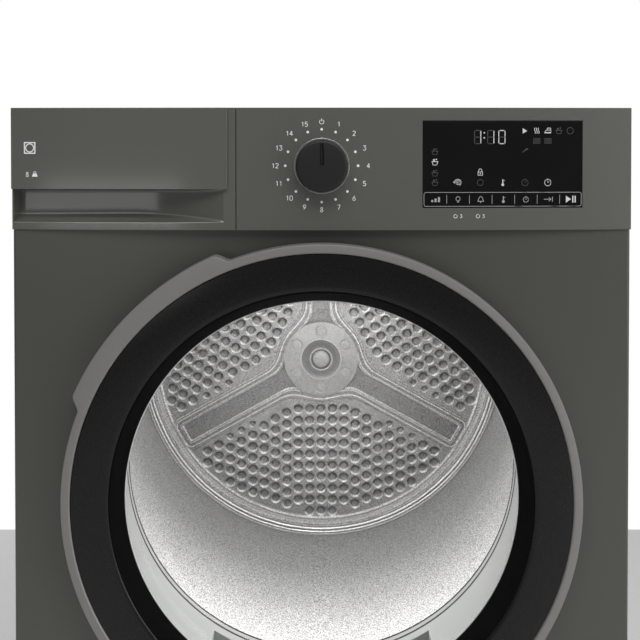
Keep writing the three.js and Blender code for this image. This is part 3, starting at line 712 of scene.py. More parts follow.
def divided(outline, step):
    """The closed outline with its long edges cut into short ones, so that it can follow the fascia's bow."""
    points = []
    for k, start in enumerate(outline):
        end = outline[(k + 1) % len(outline)]
        count = max(1, round(math.dist(start, end) / step))
        points += [tuple(Vector(start).lerp(Vector(end), i / count)) for i in range(count)]
    return points


def printed(name, shapes, look, body="cabinet", lift=0.0):
    """Flat shapes of [(x, z), ...] printed on the bowed fascia as one piece of thin ink."""
    verts, faces = [], []
    for outline in shapes:
        start = len(verts)
        count = len(outline)
        for depth in (-INK_DEPTH - lift, 0.05 - lift):
            verts += [(x, fascia_y(x) + depth, z) for x, z in outline]
        faces.append(tuple(range(start, start + count)))
        faces.append(tuple(range(start + 2 * count - 1, start + count - 1, -1)))
        faces += band(start, start + count, count)
    piece(raw(verts, faces), name, body, look)


def disc(x, z, radius, steps=20):
    return arc(x, z, radius, 0, 360 - 360 / steps, steps - 1)


def stroke(points, width):
    """A line of the given width along points, with square ends, as one outline."""
    left, right = [], []
    count = len(points)
    for i, point in enumerate(points):
        here = Vector(point)
        before = Vector(points[max(i - 1, 0)])
        after = Vector(points[min(i + 1, count - 1)])
        along = (after - before).normalized()
        across = Vector((-along.y, along.x)) * width / 2
        left.append(tuple(here + across))
        right.append(tuple(here - across))
    return left + right[::-1]


def hoop(x, z, radius, width, start=0, end=350, steps=24):
    return stroke(arc(x, z, radius, start, end, steps), width)


def frame_line(x0, x1, z0, z1, width):
    return [
        rectangle(x0, x1, z0, z0 + width),
        rectangle(x0, x1, z1 - width, z1),
        rectangle(x0, x0 + width, z0 + width, z1 - width),
        rectangle(x1 - width, x1, z0 + width, z1 - width),
    ]


SEGMENTS = {
    "0": "abcdef", "1": "bc", "2": "abged", "3": "abgcd", "4": "fgbc",
    "5": "afgcd", "6": "afgedc", "7": "abc", "8": "abcdefg", "9": "abcdfg",
}


def digit(text, x, z, width, height, bar):
    """Seven-segment strokes of one digit, with its lower left corner at x, z."""
    right, mid, top = x + width, z + height / 2, z + height
    gap = bar * 0.35
    level = {"a": top, "g": mid, "d": z}
    upright = {"f": (x, mid, top), "b": (right, mid, top), "e": (x, z, mid), "c": (right, z, mid)}
    shapes = []
    for segment in SEGMENTS[text]:
        if segment in level:
            x0, x1 = x + bar * 0.6 + gap, right - bar * 0.6 - gap
            shapes.append(rectangle(x0, x1, level[segment] - bar / 2, level[segment] + bar / 2))
        else:
            line, low, high = upright[segment]
            shapes.append(rectangle(line - bar / 2, line + bar / 2, low + gap, high - gap))
    return shapes


# Each numeral's lines, on a grid 0.6 wide and 1 high.
NUMERAL_LINES = {
    "0": [(0, 0.2), (0, 0.8), (0.15, 1), (0.45, 1), (0.6, 0.8), (0.6, 0.2), (0.45, 0), (0.15, 0), (0, 0.2)],
    "1": [(0.12, 0.8), (0.36, 1), (0.36, 0)],
    "2": [(0, 0.8), (0.15, 1), (0.45, 1), (0.6, 0.8), (0.55, 0.6), (0, 0), (0.6, 0)],
    "3": [(0, 1), (0.58, 1), (0.28, 0.6), (0.55, 0.5), (0.6, 0.2), (0.45, 0), (0.12, 0), (0, 0.15)],
    "4": [(0.46, 0), (0.46, 1), (0, 0.28), (0.62, 0.28)],
    "5": [(0.56, 1), (0.06, 1), (0.03, 0.55), (0.42, 0.6), (0.6, 0.4), (0.6, 0.2)],
    "6": [(0.48, 1), (0.12, 0.6), (0, 0.3), (0.12, 0), (0.48, 0), (0.6, 0.3), (0.46, 0.56), (0.1, 0.54)],
    "7": [(0, 1), (0.6, 1), (0.2, 0)],
    "8": [(0.3, 0.54), (0.05, 0.75), (0.15, 1), (0.45, 1), (0.55, 0.75), (0.3, 0.54)],
    "9": [(0.12, 0), (0.48, 0.4), (0.6, 0.7), (0.48, 1), (0.12, 1), (0, 0.7), (0.14, 0.44), (0.5, 0.46)],
}
NUMERAL_LINES["5"] += [(0.45, 0), (0.12, 0), (0, 0.12)]
NUMERAL_LINES["8"] += [(0, 0.28), (0.12, 0), (0.48, 0), (0.6, 0.28), (0.3, 0.54)]


def lines(points, width):
    """One short stroke for each stretch between points."""
    return [stroke([a, b], width) for a, b in zip(points, points[1:])]


def numeral(number, x, z, height):
    """A small plain numeral centred on x, z."""
    text = str(number)
    pitch = height * 0.82
    start = x - (pitch * (len(text) - 1) + height * 0.6) / 2
    shapes = []
    for i, character in enumerate(text):
        left, bottom = start + i * pitch, z - height / 2
        points = [(left + a * height, bottom + b * height) for a, b in NUMERAL_LINES[character]]
        shapes += lines(points, height * 0.13)
    return shapes


DIAL_R = 34.8
DIAL_PLACES = 16


def dial_printing():
    dots, labels = [], []
    for i in range(DIAL_PLACES):
        turn = math.radians(90 - 360 / DIAL_PLACES * i)
        dots.append(disc(KNOB.x + DIAL_R * math.cos(turn), KNOB.z + DIAL_R * math.sin(turn), 1.25))
        reach = 42.0 + 2.5 * abs(math.cos(turn))
        x, z = KNOB.x + reach * math.cos(turn), KNOB.z + reach * math.sin(turn)
        if i:
            labels += numeral(i, x, z, 4.3)
        else:
            labels.append(hoop(x, z, 2.1, 0.55, 125, 415))
            labels.append(rectangle(x - 0.28, x + 0.28, z + 0.4, z + 3.1))
    printed("dial_dots", dots, INK)
    printed("dial_numerals", labels, INK)


def small_clock(x, z, r):
    hands = stroke([(x, z + r * 0.62), (x, z), (x + r * 0.45, z + r * 0.2)], 0.45)
    return [hoop(x, z, r, 0.5), hands, rectangle(x - 0.25, x + 0.25, z + r, z + r + 0.9)]


def padlock(x, z):
    shackle = stroke([(x - 1.5, z + 0.4), *arc(x, z + 1.6, 1.5, 180, 0, 10), (x + 1.5, z + 0.4)], 0.55)
    return [shackle, *frame_line(x - 2.4, x + 2.4, z - 3.3, z + 0.4, 0.55), disc(x, z - 1.3, 0.55)]


def thermometer(x, z):
    stem = stroke([(x, z - 1.5), (x, z + 3.0)], 1.0)
    return [disc(x, z - 2.1, 1.35), stem, rectangle(x + 1, x + 1.9, z + 1.6, z + 2.1)]


def heat_waves(x, z):
    waves = []
    for dx in (-1.8, 0, 1.8):
        points = [(x + dx + 0.55 * math.sin(t * 0.8), z - 2.8 + t * 0.7) for t in range(9)]
        waves.append(stroke(points, 0.6))
    return waves


def line_from(x, z, width, *steps):
    """A stroke through points given by their steps from (x, z)."""
    return stroke([(x + across, z + up) for across, up in steps], width)


def flat_iron(x, z):
    sole = line_from(x, z, 1.1, (-3.2, -1.9), (2.9, -1.9))
    body = line_from(x, z, 0.6, (-3.0, -1.3), (-1.6, 0.6), (2.6, 0.6), (2.9, -1.3))
    handle = line_from(x, z, 0.65, (-0.9, 0.7), (-0.5, 2.5), (2.7, 2.5), (2.7, 0.7))
    return [sole, body, handle]


def basket(x, z):
    tub = line_from(x, z, 0.65, (-2.6, 0.4), (-1.9, -2.8), (1.9, -2.8), (2.6, 0.4))
    rim = line_from(x, z, 0.7, (-3.2, 0.4), (3.2, 0.4))
    return [tub, rim, disc(x - 0.9, z + 1.9, 1.0), disc(x + 1.4, z + 2.5, 0.7)]


def swirl(x, z):
    curls = [hoop(x, z, 3.1, 0.55, -60, 200)]
    for turns in ((0.3, 1.0, 1.8, 2.6, 3.4), (3.8, 4.5, 5.2, 5.9)):
        curls.append(stroke([(x + 1.9 * math.cos(t), z + 1.9 * math.sin(t)) for t in turns], 0.55))
    return curls + [disc(x, z, 0.6), disc(x - 3.9, z + 0.4, 0.55)]


def feather(x, z):
    quill = line_from(x, z, 0.8, (-2.8, -1.8), (-0.8, -0.3), (2.9, 1.6))
    return [quill, line_from(x, z, 0.6, (-0.6, 0.6), (2.4, 2.2))]


def shown(name, shapes, look):
    """Shapes printed on the display, just in front of its glass."""
    printed(name, shapes, look, lift=-0.15)


def at(dx, dz):
    """The place dx to the right of the display's upper left corner and dz below it."""
    return GLASS_LOW.x + dx, GLASS_HIGH.z - dz


def display_symbols():
    """Clock digits and generic symbols, laid out from the display's upper left corner."""
    lit, dim = [], []
    height, width, bar = 12.6, 6.0, 0.85
    for text, dx in (("1", 49.6), ("1", 62.2), ("0", 72.9)):
        x, z = at(dx, 22.0)
        strokes = digit(text, x, z, width, height, bar)
        lit += strokes
        dim += [s for s in digit("8", x, z, width, height, bar) if s not in strokes]
    for dz in (12.2, 17.0):
        x, z = at(59.0, dz - 0.6)
        lit.append(disc(x, z, 0.75))
    x, z = at(98.0, 9.8)
    lit.append([(x - 2.0, z - 2.6), (x + 2.3, z), (x - 2.0, z + 2.6)])
    lit += heat_waves(*at(109.6, 9.6)) + flat_iron(*at(120.4, 9.6))
    dim += basket(*at(131.0, 9.6)) + [hoop(*at(142.0, 9.6), 3.1, 0.55)]
    for dx in (109.6, 120.4):
        x, z = at(dx, 19.4)
        dim += frame_line(x - 3.3, x + 3.3, z - 2.6, z + 2.6, 0.55)
        dim += [rectangle(x - 2.2, x + 2.2, z + k - 0.3, z + k + 0.3) for k in (-1.1, 0, 1.1)]
    dim += feather(*at(98.4, 28.6))
    for dz, look in ((29.6, dim), (39.6, lit), (50.2, dim), (59.2, dim)):
        look += basket(*at(11.6, dz))
    lit += swirl(*at(33.6, 59.2)) + padlock(*at(55.2, 49.2))
    dim += [hoop(*at(55.2, 59.2), 2.9, 0.55)] + small_clock(*at(98.4, 59.4), 3.0)
    lit += thermometer(*at(76.9, 59.2)) + small_clock(*at(120.4, 59.4), 3.1)
    shown("lit_symbols", lit, LIT)
    shown("unlit_symbols", dim, DIM)


def touch_bar():
    """The row of touch keys along the display's lower edge: outlined cells with one plain symbol each."""
    x0, x1 = GLASS_LOW.x + 1.2, GLASS_HIGH.x - 0.9
    z0, z1 = GLASS_LOW.z + 1.3, GLASS_LOW.z + 14.6
    outline = divided(rectangle(x0, x1, z0, z1, 2.2, 6), 6.0)
    cell, mid = 21.8, (z0 + z1) / 2
    edges = [rectangle(x0 + cell * k - 0.2, x0 + cell * k + 0.2, z0 + 2.4, z1 - 2.4) for k in range(1, 7)]
    shown("touch_bar_lines", lines([*outline, outline[0]], 0.45) + edges, GREY_LINE)
    level, lamp, bell, heat, clock, skip, play = (x0 + cell * (k + 0.5) for k in range(7))
    keys = []
    for k in range(3):
        keys.append(rectangle(level - 4 + 3.2 * k, level - 2 + 3.2 * k, mid - 2.6, mid - 0.6 + 1.4 * k))
    keys += [hoop(lamp, mid + 0.6, 2.0, 0.55), rectangle(lamp - 1, lamp + 1, mid - 2.9, mid - 2.1)]
    keys.append(line_from(bell, mid, 0.6, (-2.6, -1.8), (-1.6, 1.6), (0, 2.8), (1.6, 1.6), (2.6, -1.8)))
    keys += [line_from(bell, mid, 0.6, (-3, -1.9), (3, -1.9)), disc(bell, mid - 2.9, 0.5)]
    keys += thermometer(heat, mid) + small_clock(clock, mid - 0.3, 2.5)
    keys.append(line_from(skip, mid, 0.6, (-4.4, 0), (2.4, 0)))
    keys.append(line_from(skip, mid, 0.6, (0.4, 1.8), (2.6, 0), (0.4, -1.8)))
    keys.append(rectangle(skip + 3.6, skip + 4.2, mid - 2.4, mid + 2.4))
    shown("touch_key_symbols", keys, GREY_LINE)
    x = play - 0.4
    start = [[(x - 4.4, mid - 3.3), (x + 0.6, mid), (x - 4.4, mid + 3.3)]]
    start += [rectangle(x + a, x + a + 1.2, mid - 3.3, mid + 3.3) for a in (1.7, 4.0)]
    shown("start_symbol", start, LIT)


def legend_printing():
    """Two small marks under the display: a key held down for three seconds."""
    z = GLASS_LOW.z - 8.2
    marks = []
    for x in (GLASS_LOW.x + 33.6, GLASS_LOW.x + 55.2):
        marks += numeral(3, x + 3.2, z, 3.0)
        marks.append(hoop(x - 2.2, z, 1.7, 0.45, 60, 400))
    printed("hold_marks", marks, INK)


def drawer_sign():
    """The generic tumble-dry sign, a circle in a square, and below it the load and a small weight."""
    x, z = -280.0, 807.5
    shapes = frame_line(x - 5.6, x + 5.6, z - 5.6, z + 5.6, 1.0) + [hoop(x, z, 3.9, 0.95, 0, 358, 40)]
    x, z = -282.5, 782.0
    weight = [(x + 4.6, z - 2.1), (x + 5.8, z + 1.0), (x + 9.0, z + 1.0), (x + 10.2, z - 2.1)]
    shapes += numeral(8, x, z, 4.2) + [weight, hoop(x + 7.4, z + 1.6, 1.1, 0.5)]
    printed("dry_sign", shapes, INK, "tank_drawer", lift=3.0)


# ---- tank drawer ----
SCOOP_END = (-187.0, -94.0)  # the scoop's depth runs out between these


def scoop_cutter():
    """The drawer's grip recess: an upright back wall over a floor that falls to a rounded front lip.
    A thin wall closes it at the left, and it runs out in a long soft curve at the right."""
    low = DRAWER_LOW
    lip, top = 736.2, PLATE_FOOT
    ahead = -296
    deepest = DRAWER_HIGH.y - 3.5
    start, end = SCOOP_END
    stations = [(x, 1.0) for x in (low.x + 1.4, -270, -240, -210, start)]
    stations += [(start + (end - start) * k / 16, math.cos(math.pi / 2 * k / 16)) for k in range(1, 17)]
    sections = []
    for x, share in stations:
        front = fascia_y(x)
        depth = (deepest - front) * share + 0.05
        floor = [(0.0, -1.3), (0.02, -0.4), (0.07, 0.4), (0.2, 0.9), (0.8, 4.4), (0.94, 6.0), (0.99, 8.0)]
        roof = [(1.0, 12.0), (1.0, 27.8), (0.97, 29.6), (0.82, 31.0)]
        wall = [(a, rise * (0.3 + 0.7 * share)) for a, rise in floor] + roof + [(0.6, top - lip)]
        back = eased([(front + depth * a, lip + rise) for a, rise in wall], 2, 3, closed=False)
        ring = [(ahead, lip - 2), (front - 0.3, lip - 2), *back, (ahead, top)]
        sections.append([(x, y, z) for y, z in ring])
    return loft(sections)


def drawer_front():
    low, high = DRAWER_LOW, DRAWER_HIGH
    body = prism(bowed_outline(low.x, high.x, 0, high.y, 24), "z", low.z, high.z)
    finger_room = [(-258, 767), (-243.6, 767), (-243.6, 786), (-247, 790), (-257, 790), (-257, 769)]
    carve(body, scoop_cutter(), prism(finger_room, "x", -289.5, -176))
    piece(body, "drawer_moulding", "tank_drawer", FASCIA, "drawer_front", 0.9, 3)
    plate = bowed_slab(low.x, -90.1, PLATE_FOOT, high.z, -3, 0.6, 0.6)
    piece(plate, "drawer_face_plate", "tank_drawer", FASCIA, (), 0.8, 3)


def water_tank():
    low, high = box_mm("water_tank")
    wall = 2.5
    outline = rectangle(low.x, high.x, low.y, high.y, 9, 5)
    hollow = rectangle(low.x + wall, high.x - wall, low.y + wall, high.y - wall, 7, 5)
    tub = carve(prism(outline, "z", low.z, high.z), prism(hollow, "z", low.z + wall, high.z + 5))
    piece(tub, "condensate_tank", "tank_drawer", TANK, "water_tank", 0.9)


def tank_lid():
    low, high = box_mm("tank_lid")
    lid = prism(rectangle(low.x, high.x, low.y, high.y, 9, 5), "z", low.z, high.z)
    well = cylinder(12, 800, 840, -190, 120, 40, "z")
    grooves = []
    for k in range(5):
        x = low.x + 20 + 36 * k
        grooves.append(block(x, x + 6, low.y + 24, high.y - 70, high.z - 0.9, high.z + 5))
    piece(carve(lid, well, *grooves), "tank_cover", "tank_drawer", GREY, "tank_lid", 0.5)


# ---- door ----
HANDLE_FROM, HANDLE_TO = 110.4, 159.1  # where the handle is, in degrees round the ring
HANDLE_R = 255.5
SHOULDER = 3.2
HINGE_TURN, HINGE_STEP = 16.2, 10.7  # within these degrees of the hinge the ring is this much thinner


def smooth(t):
    t = min(max(t, 0.0), 1.0)
    return t * t * (3 - 2 * t)


def ring_radius(turn):
    """The ring's outer radius by direction in degrees: wider along the handle."""
    rise = smooth((turn - HANDLE_FROM) / SHOULDER) * smooth((HANDLE_TO - turn) / SHOULDER)
    return RING_R + (HANDLE_R - RING_R) * rise


def door_ring():
    """The bright ring, swept round with its outer edge following the handle."""
    low, high = RING_LOW, RING_HIGH
    inner = BEZEL_R + 0.4
    rings = []
    steps = 720
    for k in range(steps):
        turn = 360 * k / steps
        outer = ring_radius(turn)
        back = high.y - HINGE_STEP if min(turn, 360 - turn) < HINGE_TURN else high.y
        profile = [(inner, back), (inner, low.y + 1.2), (inner + 0.5, low.y + 0.45), (inner + 1.3, low.y)]
        profile += [(outer - 1.3, low.y), (outer - 0.6, low.y + 0.2), (outer - 0.15, low.y + 0.7)]
        profile += [(outer, low.y + 1.4), (outer, back - 0.01), (outer - 1.0, back)]
        a = math.radians(turn)
        rings.append([(r * math.cos(a), y, AXIS_Z + r * math.sin(a)) for r, y in profile])
    piece(loft(rings, looped=True), "ring_and_handle", "door", RING, "door_ring", sharp=28)


def hinge_room():
    """The room that the hinge needs in the door's pieces."""
    half = 66.5
    return block(216.5, 262, DOOR_Y + 3.3, FACE_Y + 5, AXIS_Z - half, AXIS_Z + half)


def door_bezel():
    front = [(BEZEL_R, -10), (BEZEL_R, -24.4), (BEZEL_R - 0.5, -25.1), (BEZEL_R - 1.5, -25.3)]
    crown = [(206, -25.6), (203.4, -25.3), (201.6, -24.5), (200.4, -23)]
    cone = [(190.6, -9), (189.6, -7.4), (189.9, -6.6), (191.2, -6.4)]
    behind = [(203, -21.4), (BEZEL_R - 2.2, -22.4), (BEZEL_R - 2.2, -10)]
    ring = turned(set_off(FACE_Y, front + crown + cone + behind), steps=240)
    carve(ring, hinge_room())
    piece(ring, "bezel", "door", BEZEL, "door_bezel", sharp=28)


def bezel_cone():
    """The matt inner slope between the glossy bezel and the window, in a darker copy of the bezel's black:
    painted shade for the shadow it lies in.
    """
    slope = [(200.5, -23.8), (199.8, -24.0), (189.9, -9.2), (189.3, -7.6), (190.0, -7.4)]
    matt = material("matt_shaded_black", neutral(0.002), 0.9, Specular_IOR_Level=0.05)
    grained(matt, 1500, neutral(0.0018), neutral(0.0022), (0.85, 0.95))
    cone = turned(set_off(FACE_Y, slope), steps=240)
    piece(cone, "bezel_inner_slope", "door", matt, sharp=60)


def door_glass():
    """The pressed bowl: a flange, a steep rolled wall and a shallow dish."""
    outer = [(198, -3), (188.5, -3), (183.5, -0.5), (179.5, 6), (174.5, 14), (167, 21.5)]
    outer += [(155, 27), (136, 30.3), (95, 32), (45, 32.8), (0, 33)]
    inner = [(0, 29), (45, 28.8), (94, 28), (134, 26.4), (152.6, 23.3), (163.8, 18.3)]
    inner += [(171, 11.2), (175.6, 3.6), (179.6, -2.6), (185.5, -6.1), (198, -6.1)]
    bowl = turned(set_off(FACE_Y, outer + inner), steps=180)
    piece(bowl, "glass_bowl", "door", GLASS, "door_glass", sharp=50)


def glass_edge():
    """A fine pale line round the window's edge: a painted highlight where the edge catches light."""
    profile = [(189.5, -7.3), (188.9, -7.6), (188.3, -7.3), (188.3, -6.6), (189.5, -6.6)]
    pale = material("painted_edge_highlight", (0.5, 0.5, 0.49), 0.4)
    grained(pale, 1500, (0.46, 0.46, 0.45), (0.54, 0.54, 0.53), (0.35, 0.45))
    line = turned(set_off(FACE_Y, profile), steps=240)
    piece(line, "window_edge_line", "door", pale, sharp=60)


def door_frame():
    profile = [(198.4, -2.6), (198.4, -13), (231.5, -21), (231.8, -10), (222, -4.4)]
    profile += [(216.5, -4.4), (216.5, -6.4), (206, -6.4)]
    profile += [(206, -0.8), (192, -0.8), (192, -2.6)]
    rim = turned(eased(set_off(FACE_Y, profile), 0.8, 2), steps=200)
    leaf_room = block(200.5, 240, FACE_Y - 13, FACE_Y - 9.5, AXIS_Z - 44.5, AXIS_Z + 44.5)
    piece(carve(rim, hinge_room(), leaf_room), "inner_door_frame", "door", GREY, "door_frame")


def door_gasket():
    profile = [(206.5, -0.6), (206.5, -6), (216, -6), (216, -1.4), (214.2, -0.6), (212.2, -1.8)]
    profile += [(210.4, -1.8), (208.4, -0.4)]
    seal = turned(set_off(FACE_Y, profile), steps=200)
    piece(seal, "gasket", "door", RUBBER, "door_gasket")


# ---- drum ----
ARM_TURNS = (90, 210, 330)
ARM_HALF, ARM_END, ARM_CORNER = 26.5, 258.0, 13.0
STAR_CORE_R, STAR_BLEND = 67.0, 26.0
BAND = 13.0  # width of the raised band that outlines the star
DOME_RISE, BAND_RISE, DISH_DEPTH = 15.0, 2.2, 3.4
HUB_R, HUB_RISE, RIVETS_R = 58.0, 18.6, 43.8
BACK_R = 272.0
DISH_R, SMALL_DISH_R, DISHES_END_R = 8.0, 5.6, 249.0
COLUMN_PITCH, ROW_PITCH = 18.0, 18.5
SMALL_FROM, SMALL_TO = 106, 155  # columns this far off the sector's middle line start with a small dish
# Painted highlight: this gain sits on each dish's lower lip, standing in for light from above.
LIP_HIGHLIGHT_GAIN = 3.4  # what a dish's lower lip gains over the sheet's own tone
HIGHEST_TONE = 4.0  # the tone curves' upper limit
BACK_BEADS = ((257.5, 0.9), (269.5, 1.6))  # radius and rise of the beads round the back wall
RIM_BEADS = ((275.8, 1.4), (280.9, 1.3), (285.0, 0.8))  # the same for the seam

# Painted highlights and shade: lighter and darker rings toward the drum's edge, by distance from its axis,
# standing in for light on the beads.
RIM_PAINTED_LIGHT = [
    (0, 0.74), (255.4, 0.7), (256.4, 2.2), (258.8, 2.2), (259.8, 0.5), (261.5, 1.3), (268.0, 1.15),
    (269.2, 0.4), (270.0, 2.0), (271.9, 2.0), (272.6, 0.35), (274.2, 0.5), (274.8, 2.0), (276.8, 2.0),
    (277.6, 0.35), (279.4, 0.45), (280.0, 2.0), (281.8, 2.0), (282.6, 0.5), (284.0, 0.7), (285.0, 1.6),
    (287.0, 1.2),
]


def star_distance(x, z):
    """Signed distance to the pressed three-armed star, negative inside it."""
    near = math.hypot(x, z) - STAR_CORE_R
    for turn in ARM_TURNS:
        a = math.radians(turn)
        along = x * math.cos(a) + z * math.sin(a)
        across = abs(-x * math.sin(a) + z * math.cos(a))
        du = abs(along - ARM_END / 2) - ARM_END / 2 + ARM_CORNER
        dv = across - ARM_HALF + ARM_CORNER
        arm = math.hypot(max(du, 0), max(dv, 0)) + min(max(du, dv), 0) - ARM_CORNER
        mix = max(STAR_BLEND - abs(near - arm), 0) / STAR_BLEND
        near = min(near, arm) - mix * mix * STAR_BLEND * 0.25
    return near


def dish_margin(s):
    """How far a column's first dish stays off the star, for the column s mm off the sector's middle line."""
    s = abs(s)
    if s < 46:
        return 13.0 + 0.1 * s
    if s < SMALL_FROM:
        return 20.0 + 0.06 * (s - 46)
    if s < SMALL_TO:
        return 11.0
    return 14.5


def dish_centres():
    """Centres of the pressed dishes, (x, z, radius), about the drum's axis: columns in each sector between
    two arms, whose first dish keeps its distance from the star."""
    centres = []
    for turn in (30, 150, 270):
        cos, sin = math.cos(math.radians(turn)), math.sin(math.radians(turn))
        for column in range(-13, 14):
            s = column * COLUMN_PITCH
            t = abs(s) / math.sqrt(3)
            while t < 260 and star_distance(t * cos - s * sin, t * sin + s * cos) < dish_margin(s):
                t += 0.5
            radius = SMALL_DISH_R if SMALL_FROM <= abs(s) < SMALL_TO else DISH_R
            while math.hypot(s, t) < DISHES_END_R:
                centres.append((t * cos - s * sin, t * sin + s * cos, radius))
                radius = DISH_R
                t += ROW_PITCH
    return centres


def back_height(r, star, dish):
    """How far the drum's back wall stands forward, in mm, at radius r."""
    height = DOME_RISE * (1 - smooth(min(r, 262) / 300))
    height += BAND_RISE * smooth((0.5 - star) / 3) * smooth((BAND + 0.5 + star) / 3)
    height -= DISH_DEPTH * smooth((DISH_R - dish) / DISH_DEPTH)
    for bead, rise in BACK_BEADS:
        height += rise * math.exp(-((r - bead) / 1.6) ** 2)
    return height


def disc_point(a, b):
    """Where the point (a, b) of a grid from -1 to 1 goes when its squares become rings, up to BACK_R."""
    r, turn = 0.0, 0.0
    if abs(a) > abs(b):
        r, turn = a, math.pi / 4 * b / a
    elif b:
        r, turn = b, math.pi / 2 - math.pi / 4 * a / b
    return BACK_R * r * math.cos(turn), BACK_R * r * math.sin(turn)


def drum_back():
    """The pressed back wall as a fine sheet. Its attributes carry the pattern and its painted light to the
    material: star is the distance to the star, dish the distance to the nearest dish's centre and drop how
    far below it the point is. The last two are scaled as if every dish had the full size. Star places the
    band's painted highlight and shade lines; dish and drop place each dish's painted shade and its lower
    lip's painted highlight."""
    count, cell = 314, 20
    cells = {}
    for x, z, r in dish_centres():
        cells.setdefault((round(x / cell), round(z / cell)), []).append((x, z, r))
    verts, stars, dishes, drops = [], [], [], []
    for i in range(count + 1):
        for k in range(count + 1):
            x, z = disc_point(2 * i / count - 1, 2 * k / count - 1)
            ci, ck = round(x / cell), round(z / cell)
            around = [(ci + di, ck + dk) for di in (-1, 0, 1) for dk in (-1, 0, 1)]
            dish, drop = 30.0, 0.0
            for cx, cz, cr in (centre for key in around for centre in cells.get(key, ())):
                away = math.hypot(x - cx, z - cz) * DISH_R / cr
                if away < dish:
                    dish, drop = away, (cz - z) * DISH_R / cr
            star = star_distance(x, z)
            stars.append(star)
            dishes.append(dish)
            drops.append(drop)
            verts.append((x, BACK_Y - back_height(math.hypot(x, z), star, dish), z + AXIS_Z))
    row = count + 1
    starts = [i * row + k for i in range(count) for k in range(count)]
    mesh = bpy.data.meshes.new("drum_back_sheet")
    faces = [(k, k + row, k + row + 1, k + 1) for k in starts]
    mesh.from_pydata([(x * MM, y * MM, z * MM) for x, y, z in verts], [], faces)
    for name, values in (("star", stars), ("dish", dishes), ("drop", drops)):
        mesh.attributes.new(name, "FLOAT", "POINT").data.foreach_set("value", values)
    sheet = bpy.data.objects.new("drum_back_sheet", mesh)
    bpy.context.scene.collection.objects.link(sheet)
    piece(sheet, "drum_back_sheet", "drum", pressed_steel(), "drum_back", sharp=180)


def drum_back_rim():
    """The seam where the back wall is rolled into the drum's side: three beads."""
    half, foot, behind = 1.5, BACK_Y - 0.2, BACK_Y + 1.2
    profile = [(BACK_R - 1, behind), (BACK_R - 1, BACK_Y - 0.4)]
    for bead, rise in RIM_BEADS:
        for k in range(9):
            profile.append((bead - half + 2 * half * k / 8, foot - rise * math.sin(math.pi * k / 8)))
    profile += [(286.6, foot), (286.6, behind)]
    piece(turned(profile, steps=240), "drum_back_rim", "drum", rim_steel(), sharp=60)


def hub_plate():
    """The bright disc over the drum's shaft: a dome in a dished recess, and six rivets round it."""
    face = BACK_Y - HUB_RISE
    profile = [(0, -2.6), (5, -2.4), (9.5, -1.5), (12.6, 0.2), (13.8, 1.8)]
    profile += [(15.0, 2.0), (15.6, 0.1), (16.6, -0.5), (17.8, -0.2), (18.6, 2.6)]
    profile += [(27.0, 1.9), (29.6, 0.7), (30.3, -0.4), (31.6, -0.5), (32.6, 0)]
    profile += [(57.0, 0), (57.9, 0.4), (HUB_R, 1.2), (HUB_R, 3.6), (0, 3.6)]
    plate = turned(set_off(face, profile), steps=128)
    for k in range(6):
        a = math.radians(90 + 60 * k)
        x, z = RIVETS_R * math.cos(a), AXIS_Z + RIVETS_R * math.sin(a)
        groove = [(0, 0.6), (7.4, 0.6), (8.6, 0.5), (9.2, -0.02), (9.4, -2), (0, -2)]
        carve(plate, turned(set_off(face, groove), x, z, 40))
        dome = [(0, -0.15), (4.4, -0.1), (6.4, 0.1), (7.2, 0.6), (7.2, 1.2), (0, 1.2)]
        fuse(plate, turned(set_off(face, dome), x, z, 40))
    piece(plate, "drum_hub_plate", "drum", hub_steel(), sharp=40)


def hub_steel():
    """Plain steel with painted shade in the hub's recess and painted highlights along its edges."""
    made = material("hub_steel", HUB_TONE, 0.5, 0.5)
    stops = [(0, 1.0), (12.6, 1.05), (13.6, 0.4), (15.4, 0.45), (16.2, 1.3), (17.6, 1.3), (18.8, 0.55)]
    stops += [(23.0, 0.42), (28.0, 0.55), (29.6, 0.75), (30.4, 1.35), (31.6, 1.35), (32.6, 0.9), (36.0, 1.0)]
    stops.append((HUB_R, 1.0))
    toned_steel(made, HUB_TONE, 0.2, profile_curve(made.node_tree, reach_value(made.node_tree), stops))
    return made


def computed(tree, operation, *values):
    """One maths operation on values, each of them a number or another node's result."""
    made = node(tree, "ShaderNodeMath", operation=operation)
    for socket, value in zip(made.inputs, values):
        if isinstance(value, float):
            socket.default_value = value
        else:
            tree.links.new(value, socket)
    return made.outputs[0]


def profile_curve(tree, value, stops):
    """A piecewise straight line through (value, level) stops."""
    start, end = stops[0][0], stops[-1][0]
    places = [((at - start) / (end - start), neutral(level / HIGHEST_TONE)) for at, level in stops]
    grey = ramp(tree, spread(tree, value, 0.0, 1.0, start, end), places)
    return computed(tree, "MULTIPLY", grey, HIGHEST_TONE)


def reach_value(tree):
    """The shaded point's distance from the drum's axis, in mm."""
    across = node(tree, "ShaderNodeVectorMath", operation="MULTIPLY_ADD")
    across.inputs[1].default_value = (1 / MM, 0, 1 / MM)
    across.inputs[2].default_value = (0, 0, -AXIS_Z)
    tree.links.new(own_place(tree), across.inputs[0])
    length = node(tree, "ShaderNodeVectorMath", operation="LENGTH")
    tree.links.new(across.outputs[0], length.inputs[0])
    return length.outputs["Value"]


def toned_steel(made, color, grain, *tones):
    """Gives a steel its speckle, and the painted light and shade of each of the tones: lighter and darker
    zones.
    """
    tree = made.node_tree
    speckle = noise(tree, 640, 1.0)
    shade = spread(tree, speckle, 1 - grain, 1 + grain, 0.36, 0.64)
    for factor in tones:
        shade = computed(tree, "MULTIPLY", shade, factor)
    tinted = node(tree, "ShaderNodeVectorMath", operation="SCALE")
    tinted.inputs[0].default_value = color
    tree.links.new(shade, tinted.inputs["Scale"])
    feed(tree, tinted.outputs[0], "Base Color")
    feed(tree, spread(tree, speckle, 0.45, 0.58, 0.3, 0.7), "Roughness")
    return speckle


